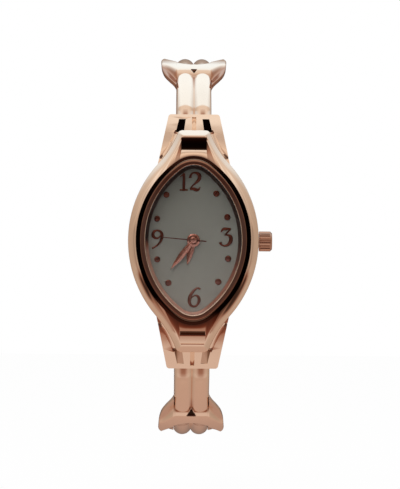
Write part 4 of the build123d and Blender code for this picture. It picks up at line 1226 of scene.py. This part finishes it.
@dataclass
class Bars(BandPiece):
    """The twin front bars with broad ridges, rolled round the hinge pin at one end."""

    pin: Pair = (-20.1, 19.3)
    knuckle_radius: float = 2.4
    bore: float = 0.45
    knuckle_angles: Pair = (-124.0, 35.0)
    knuckle_stations: int = 24
    height: float = 2.19
    bar_angles: Pair = (38.2, 65.6)
    bar_stations: int = 40
    half_width: float = 2.85
    ridge: float = 1.42
    ridge_drop: float = 0.48
    line_drop: float = 0.03
    line_half_width: float = 0.1
    edge_radius: float = 0.4
    hood_dip: float = 0.2
    dip_degrees: float = 1.7
    samples: int = 84
    valley_side: Pair = (0.08, 0.5)
    valley_rise: Pair = (25.0, 27.6)
    hood_rise: float = 21.1
    upper_reach: float = 0.5
    lower_reach: float = 1.7

    def rise(self, x: float) -> float:
        """Height of the bars' top against their ridges."""
        side = abs(x)
        height = -self.ridge_drop * (abs(side - self.ridge) / self.ridge) ** 2.1
        height -= self.line_drop * max(0.0, 1 - side / self.line_half_width)
        edge = max(0.0, (side - self.half_width + self.edge_radius) / self.edge_radius)
        return height - self.edge_radius * (1 - math.sqrt(max(0.0, 1 - edge * edge)))

    def stations(self) -> list[tuple[Pair, float, float, float]]:
        """Centre, angle, outer and inner radius, round the pin and on along the hoop."""
        first, last = self.knuckle_angles
        stations = []
        for step in range(self.knuckle_stations + 1):
            turn = first + (last - first) * step / self.knuckle_stations
            stations.append((self.pin, turn, self.knuckle_radius, self.bore))
        first, last = self.bar_angles
        for step in range(self.bar_stations + 1):
            turn = first + (last - first) * step / self.bar_stations
            dip = self.hood_dip * (1 - eased(turn, first, first + self.dip_degrees))
            inner = self.radius - self.height
            stations.append(((0.0, self.centre_z), turn, self.radius - dip, inner))
        return stations

    def loops(self, end: int) -> list[Loop]:
        """The bars' sections along the band, for one end of the watch."""
        loops = []
        for (y, z), turn, outer, inner in self.stations():
            out = Vector((0, -math.cos(math.radians(turn)), math.sin(math.radians(turn)) * end))
            centre = Vector((0, y, z * end))
            loop = []
            for step in range(self.samples + 1):
                x = self.half_width * (2 * step / self.samples - 1)
                loop.append((centre + out * (outer + self.rise(x)) + Vector((x, 0, 0))) * MM)
            for x in (self.half_width, -self.half_width):
                loop.append((centre + out * inner + Vector((x, 0, 0))) * MM)
            loops.append(loop)
        return loops

    def shade(self, place: Vector, end: int) -> float:
        """Painted shade: a little darker in the valley, and where the ridges run under the hood."""
        side, rise = abs(place.x), place.z * end
        valley = 1 - eased(side, *self.valley_side)
        valley *= 0.08 + 0.3 * eased(rise, *self.valley_rise)
        reach = self.upper_reach if end > 0 else self.lower_reach
        hood = 1 - eased(abs(side - self.ridge), 0.15, 0.45 + 0.3 * reach)
        hood *= 0.55 * (1 - eased(rise, self.hood_rise, self.hood_rise + 0.1 + reach))
        return max(valley, hood)


@dataclass
class Collar(BandPiece):
    """A winged collar: two dished ears, a strap over the bars and two rear arms.

    The edge is given in pairs of place along the band and half width. Heights count from
    the bars' ridges.
    """

    degrees: float = 48.0
    angle: float = 67.0
    edge: Points = (
        (-7.1, 3.05), (-6.4, 3.45), (-5.3, 4.1), (-3.6, 4.85), (-1.5, 5.27), (1.0, 5.45),
        (2.6, 5.45), (3.7, 5.2), (4.5, 4.7), (5.3, 4.15), (6.9, 3.75), (8.1, 3.3), (8.6, 3.05),
    )
    bar_half_width: float = 2.88
    seam: float = 0.02
    ramp_start: float = -2.5
    ramp_length: float = 2.6
    ramp_drop: float = 1.7
    ramp_power: float = 1.35
    sweep: float = 2.8
    sweep_sides: Pair = (2.3, 5.5)
    strap_half_width: float = 5.2
    strap_rear: Pair = (-0.5, 3.9)
    bars_rear: Pair = (1.25, 3.95)
    ridge: float = 1.425
    ridge_radius: float = 1.611
    lowest: float = 1.3
    rise: float = 0.47
    camber: float = 0.35
    camber_reach: float = 5.4
    edge_round: float = 0.24
    dish: float = 0.8
    dish_power: float = 1.3
    dish_room: float = 1.6
    ear_top: float = -0.06
    ear_lowest: float = -1.15
    ear_base: float = -1.28
    ear_hollow: float = 0.5
    ear_shade: float = 0.5
    tail: Pair = (4.4, 6.0)
    tail_drop: float = 0.55
    blend: float = 0.22
    hole_half_width: float = 0.55
    hole_t: Pair = (-2.75, -3.45)
    hole_depth: float = 0.3
    hole_edge: float = 0.07
    under_depth: float = -1.5
    under_step: float = 0.69
    under_start: Pair = (-1.9, -1.6)
    bars_shift: float = 0.0
    step: float = 0.13

    def place(self, x: float, t: float, height: float) -> Vector:
        """Point in metres from a place on the flat collar and a height over the bars."""
        turn = math.radians(self.angle) + math.asin(t / self.radius)
        reach = self.radius + height
        z = self.centre_z + reach * math.sin(turn)
        return Vector((x, -reach * math.cos(turn), z)) * MM

    def rear(self, side: float, ends: Pair) -> float:
        """Place along the band of an edge that bows back to both sides.

        Args:
            side: Distance from the band's middle.
            ends: Its place in the middle and at the strap's corners.

        Returns:
            The place.
        """
        return ends[0] + (ends[1] - ends[0]) * (side / self.strap_half_width) ** 2

    def top(self, x: float, t: float, half: float) -> float:
        """Height of the outer surface over the bars' ridges.

        Args:
            x: Place across the band.
            t: Place along the band.
            half: Half width of the collar there.

        Returns:
            The height.
        """
        side = abs(x)
        rear = self.rear(side, self.strap_rear)
        ahead = max(0.0, self.front(side) - t)
        height = self.rise * (1 - self.camber * (side / self.camber_reach) ** 3)
        height -= self.ramp_drop * (ahead / self.ramp_length) ** self.ramp_power
        if side > self.bar_half_width:
            out = (side - self.bar_half_width) / (half - self.bar_half_width)
            room = min(1.0, (half - self.bar_half_width) / self.dish_room)
            low = self.ear_top - self.dish * room * (1 - out) ** self.dish_power
            low = max(self.ear_lowest, low - self.tail_drop * eased(t, *self.tail))
            above = height - low
            height = low + (above + math.hypot(above, self.blend)) / 2
            height -= (height - low) * eased(t, rear + 0.1, rear + 1.6)
        else:
            height = max(-self.lowest, height - self.hole_depth * self.hole(side, t))
            round_top = math.sqrt(self.ridge_radius**2 - (side - self.ridge) ** 2)
            bar = round_top - self.ridge_radius
            height -= (height - bar) * eased(t, rear - 0.1, rear + 0.3)
            under = self.rear(side, self.bars_rear) + self.bars_shift
            height -= (height + self.lowest) * eased(t, under, under + 0.15)
        over = max(0.0, (side - half + self.edge_round) / self.edge_round)
        return height - self.edge_round * (1 - math.sqrt(max(0.0, 1 - min(1.0, over) ** 2)))

    def front(self, side: float) -> float:
        """Place along the band where the strap starts to slope down to the ears and bars."""
        return self.ramp_start + self.sweep * eased(side, *self.sweep_sides)

    def hole(self, side: float, t: float) -> float:
        """1 inside the three-cornered hole over the valley, 0 outside it."""
        base, apex = self.hole_t
        if not apex < t < base:
            return 0.0
        width = self.hole_half_width * (t - apex) / (base - apex)
        return max(0.0, min(1.0, (width - side) / self.hole_edge))

    def base(self, x: float, t: float, half: float) -> float:
        """Height of the inner surface over the bars' ridges."""
        if abs(x) > self.bar_half_width + self.seam:
            out = (abs(x) - self.bar_half_width) / (half - self.bar_half_width)
            return self.ear_base + self.ear_hollow * out * out
        rear = self.rear(abs(x), self.bars_rear) + self.bars_shift
        step = eased(t, *self.under_start) * (1 - eased(t, rear, rear + 0.2))
        return self.under_depth - self.under_step * step

    def across(self, half: float) -> list[float]:
        """Places across the collar: close at the hole, the bars' sides and the outer edge."""
        side = [0.075 * step for step in range(12)]
        side += [0.825 + 2.055 * step / 12 for step in range(1, 13)]
        side += [self.bar_half_width + self.seam]
        room = half - side[-1]
        side += [side[-1] + room * (1 - (1 - step / 20) ** 1.5) for step in range(1, 21)]
        return [-x for x in reversed(side[1:])] + side

    def loops(self, end: int) -> list[Loop]:
        """The collar's sections along the band, for one end of the watch."""
        first, last = self.edge[0][0], self.edge[-1][0]
        count = round((last - first) / self.step)
        loops = []
        for station in range(count + 1):
            t = first + (last - first) * station / count
            half = between(self.edge, t)
            across = self.across(half)
            loop = [self.place(x, t, self.top(x, t, half)) for x in across]
            under = reversed(across[1:-1])
            loop += [self.place(x * 0.995, t, self.base(x, t, half)) for x in under]
            loops.append([Vector((p.x, p.y, p.z * end)) for p in loop])
        return loops

    def shade(self, place: Vector, end: int) -> float:
        """Painted shade in the hole over the valley, in the ears and in the gap behind the strap.
        """
        rise = place.z * end - self.centre_z
        height = math.hypot(place.y, rise) - self.radius
        side = abs(place.x)
        t = self.radius * math.sin(math.atan2(rise, -place.y) - math.radians(self.angle))
        if side < self.bar_half_width:
            # The shallow hole is painted black as if it were deep, and the bars' ends get painted
            # shade.
            return max(self.hole(side, t), 0.3 * eased(-height, -0.15, 0.25))
        start = self.front(side)
        ear = self.ear_shade * (1 - eased(t, start - 1.2, start - 0.1))
        # Painted shade in the gap behind the strap.
        drop = eased(t, 4.5, 4.9) * (1 - eased(t, 6.4, 7.2)) * (1 - eased(side, 3.5, 3.8))
        return max(ear, 0.85 * drop)


LOWER_COLLAR = Collar(
    angle=65.8,
    bars_shift=0.58,
    ramp_start=-3.05,
    ramp_length=1.8,
    hole_half_width=0.8,
    hole_t=(-3.2, -4.1),
    dish=0.45,
    ear_shade=0.15,
)


# ---------------------------------------------------------------- dressing the other nodes


@dataclass
class Softened:
    """A piece that keeps its solid's shape, with its sharp edges rounded."""

    node: str
    body: str
    width: float

    def lift(self, place: Vector) -> float:
        """How far a corner of the solid is moved to the front."""
        return 0.0

    def shade(self, place: Vector) -> float:
        """How much painted shade, or a plain darker tone, the piece has at a place."""
        return 0.0

    def build(self, material: Material) -> Piece:
        """Rounds a merged copy of the solid."""
        piece = merged_copy(self.node, "soft_" + self.node)
        for vertex in piece.data.vertices:
            vertex.co.y -= self.lift(vertex.co / MM) * MM
        soften(piece, self.width, 40)
        smooth(piece, 30)
        take(piece)
        bpy.ops.object.modifier_add(type="WEIGHTED_NORMAL")
        piece.modifiers[-1].keep_sharp = True
        apply_all(piece)
        paint_darkness(piece, self.shade)
        return finish_piece(piece, material, self.body, [self.node])


@dataclass
class CaseBody(Softened):
    """The case's body, with a sloping floor in each pocket of the lower shoulder."""

    node: str = "case_middle"
    body: str = "case"
    width: float = 0.03
    groove_width: float = 9.4
    floor_depth: float = 5.3
    floor_x: Pair = (1.0, 2.9)
    floor_z: Pair = (-19.95, -17.5)
    slope: float = 0.85
    slope_start: float = 17.7
    slope_length: float = 2.15
    pocket_depth: float = 4.9
    pocket_x: Pair = (1.3, 3.0)
    upper_pocket_z: Pair = (17.6, 19.9)
    lower_wall_z: Pair = (-17.9, -17.5)

    def lift(self, place: Vector) -> float:
        """Most at the pocket's end that is nearest to the dial, nothing at the far end."""
        level = abs(place.y - FRONT_Y - self.floor_depth) < 0.05
        if not (level and within(abs(place.x), self.floor_x) and within(place.z, self.floor_z)):
            return 0.0
        return self.slope * (1 - (-place.z - self.slope_start) / self.slope_length)

    def shade(self, place: Vector) -> float:
        """Painted shade at the groove's foot and on the floors of the shoulders' pockets."""
        depth = place.y - FRONT_Y
        if Lens().half_width(place.x, place.z) < self.groove_width:
            return 1.0
        if depth < self.pocket_depth or not within(abs(place.x), self.pocket_x):
            return 0.0
        if within(place.z, self.upper_pocket_z) and depth > self.floor_depth - 0.1:
            return 1.0
        return 0.45 if within(place.z, self.lower_wall_z) else 0.0


@dataclass
class Crown(Softened):
    """The fluted crown, a little darker than the case."""

    node: str = "crown"
    body: str = "crown_stem"
    width: float = 0.02

    def shade(self, place: Vector) -> float:
        """The same all over."""
        return 0.4


def dress_nodes(finishes: dict[str, Material]) -> None:
    """Gives every node that keeps its mesh the finish of its slot."""
    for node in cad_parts.values():
        for held in node.material_slots:
            if held.material and held.material.name.split(".")[0] in finishes:
                held.material = finishes[held.material.name.split(".")[0]]


# ---------------------------------------------------------------- studio


@dataclass
class Studio:
    """Plain soft light, a pale floor and the camera.

    The room is given in pairs of angle, from straight ahead of the dial over the top, and
    colour. The floor lies under the opened band.
    """

    floor_z: float = -41.5
    distance: float = 400.0
    view_height: float = 78.3
    sensor: float = 36.0
    aim: tuple[float, float, float] = (1.05, -28.6, -0.73)
    azimuth: float = -0.7
    elevation: float = -2.2
    roll: float = 0.45
    room: tuple[tuple[float, Colour], ...] = (
        (-180, (0.2, 0.14, 0.115)),
        (-150, (0.42, 0.27, 0.21)),
        (-122, (0.54, 0.35, 0.27)),
        (-86, (0.56, 0.37, 0.28)),
        (-60, (0.7, 0.52, 0.42)),
        (-38, (0.68, 0.5, 0.4)),
        (-32, (0.34, 0.14, 0.085)),
        (-26, (0.22, 0.07, 0.04)),
        (-13, (0.1, 0.04, 0.028)),
        (0, (0.055, 0.027, 0.021)),
        (16, (0.09, 0.045, 0.035)),
        (21, (0.52, 0.34, 0.25)),
        (26, (0.7, 0.51, 0.38)),
        (31, (0.86, 0.66, 0.51)),
        (36, (0.86, 0.66, 0.51)),
        (40, (0.58, 0.44, 0.35)),
        (43, (0.62, 0.48, 0.38)),
        (47, (0.94, 0.82, 0.7)),
        (55, (0.82, 0.66, 0.53)),
        (76, (0.84, 0.7, 0.58)),
        (87, (1.0, 1.06, 1.06)),
        (138, (1.0, 1.1, 1.14)),
        (151, (0.45, 0.36, 0.3)),
        (180, (0.2, 0.14, 0.115)),
    )
    sides: Colour = (0.49, 0.365, 0.275)
    sides_from: Pair = (0.42, 0.95)
    plain_light: Colour = (0.85, 0.85, 0.85)
    lamp_place: tuple[float, float, float] = (-0.25, -0.5, 0.6)
    lamp_size: float = 0.6
    lamp_energy: float = 2.2

    def camera(self) -> None:
        """Puts the camera at the photograph's angle."""
        turn, rise = math.radians(self.azimuth), math.radians(self.elevation)
        ahead = math.cos(rise)
        back = Vector((math.sin(turn) * ahead, -math.cos(turn) * ahead, math.sin(rise)))
        deselect_all()
        bpy.ops.object.camera_add(location=Vector(self.aim) * MM + back * self.distance * MM)
        camera = bpy.context.object
        camera.name = "camera"
        camera.rotation_mode = "QUATERNION"
        facing = (-back).to_track_quat("-Z", "Y").to_matrix()
        roll = Matrix.Rotation(math.radians(self.roll), 3, "Z")
        camera.rotation_quaternion = (facing @ roll).to_quaternion()
        camera.data.sensor_width = self.sensor
        camera.data.lens = self.sensor * self.distance / self.view_height
        camera.data.clip_start, camera.data.clip_end = 0.01, 20.0
        bpy.context.scene.camera = camera

    def floor(self) -> None:
        """Lays the pale floor, which keeps a soft shadow."""
        deselect_all()
        bpy.ops.mesh.primitive_plane_add(size=8.0, location=(0, 0, 0))
        plane = bpy.context.object
        plane.name = "floor"
        settle(plane, Matrix.Translation((0, 0, self.floor_z * MM)))
        nodes = material_nodes("pale_floor")
        plane.data.materials.append(
            nodes.surface({"Base Color": (0.9, 0.9, 0.9), "Roughness": 0.9})
        )
        seen = nodes.add("LightPath").outputs["Is Camera Ray"]
        share = nodes.math("MULTIPLY", seen, 0.95)
        plain = nodes.tree.nodes["Principled BSDF"].outputs[0]
        glow = nodes.add("Emission", {"Strength": 1.0}).outputs[0]
        mix = nodes.add("MixShader", {0: share, 1: plain, 2: glow}).outputs[0]
        nodes.feed(nodes.tree.nodes["Material Output"], {"Surface": mix})
        plane.visible_glossy = False

    def world(self) -> None:
        """A white room with a dim side behind the camera, as polished metal shows it."""
        nodes = Nodes(bpy.data.worlds.new("studio"))
        bpy.context.scene.world = nodes.owner
        nodes.tree.nodes.clear()
        generated = nodes.add("TexCoord").outputs["Generated"]
        way = nodes.add("SeparateXYZ", {0: generated}).outputs
        angle = nodes.math("ARCTAN2", way["Z"], nodes.math("MULTIPLY", way["Y"], -1.0))
        turn = nodes.ranged(angle, 0.0, 1.0, -math.pi, math.pi)
        room = nodes.ramp(turn, [((angle + 180) / 360, colour) for angle, colour in self.room])
        aside = nodes.ranged(nodes.math("ABSOLUTE", way["X"]), 0.0, 1.0, *self.sides_from)
        room = nodes.mixed(aside, room, self.sides)
        path = nodes.add("LightPath").outputs
        light = nodes.mixed(path["Is Glossy Ray"], self.plain_light, room)
        seen = nodes.mixed(path["Is Camera Ray"], light, (1.0, 1.0, 1.0))
        background = nodes.add("Background", {"Color": seen})
        nodes.add("OutputWorld", {"Surface": background.outputs[0]})

    def lamps(self) -> None:
        """One broad soft lamp above and in front of the watch."""
        deselect_all()
        bpy.ops.object.light_add(type="AREA", location=self.lamp_place)
        lamp = bpy.context.object
        lamp.name = "soft_lamp"
        lamp.data.shape = "DISK"
        lamp.data.size = self.lamp_size
        lamp.data.energy = self.lamp_energy
        lamp.rotation_mode = "QUATERNION"
        lamp.rotation_quaternion = (-lamp.location).to_track_quat("-Z", "Y")
        lamp.visible_glossy = False

    def build(self) -> None:
        """Sets up the whole studio."""
        self.camera()
        self.floor()
        self.world()
        self.lamps()
        bpy.context.scene.view_settings.view_transform = "Standard"


def main() -> None:
    """Builds the watch piece by piece and lights it."""
    logging.basicConfig(level=logging.INFO, format="%(name)s: %(message)s")
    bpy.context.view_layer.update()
    Studio().build()
    finishes = {slot: finish.material() for slot, finish in FINISHES.items()}
    dress_nodes(finishes)
    gold, hand_gold = finishes["rose_gold"], finishes["hand_gold"]
    lens = Lens()
    Rim().build(lens, gold)
    BezelRing().build(lens, gold)
    Flange().build(lens, FLANGE.material())
    Crystal().build(lens, finishes["crystal"])
    Dots().build(finishes["marker"])
    minute = Hand("leaf_minute", 6.0, 0.95, depth=1.88, angle=217.6, hub_radius=0.8925, bore=0.305)
    minute.build(hand_gold, "minutes", "minute_hand")
    hour = Hand("leaf_hour", 4.1, 1.0, depth=2.2, angle=194.0, hub_radius=1.05, bore=0.605)
    hour.build(hand_gold, "hours", "hour_hand")
    SecondHand().build(finishes["hand_dark"], hand_gold)
    for figure in FIGURES:
        figure.build(finishes["marker"])
    CaseBody().build(gold)
    Crown().build(gold)
    for half in Half:
        Bars().build(gold, half, "front_bars")
    Collar().build(gold, Half.UPPER, "collar")
    LOWER_COLLAR.build(gold, Half.LOWER, "collar")


if __name__ == "__main__":
    main()
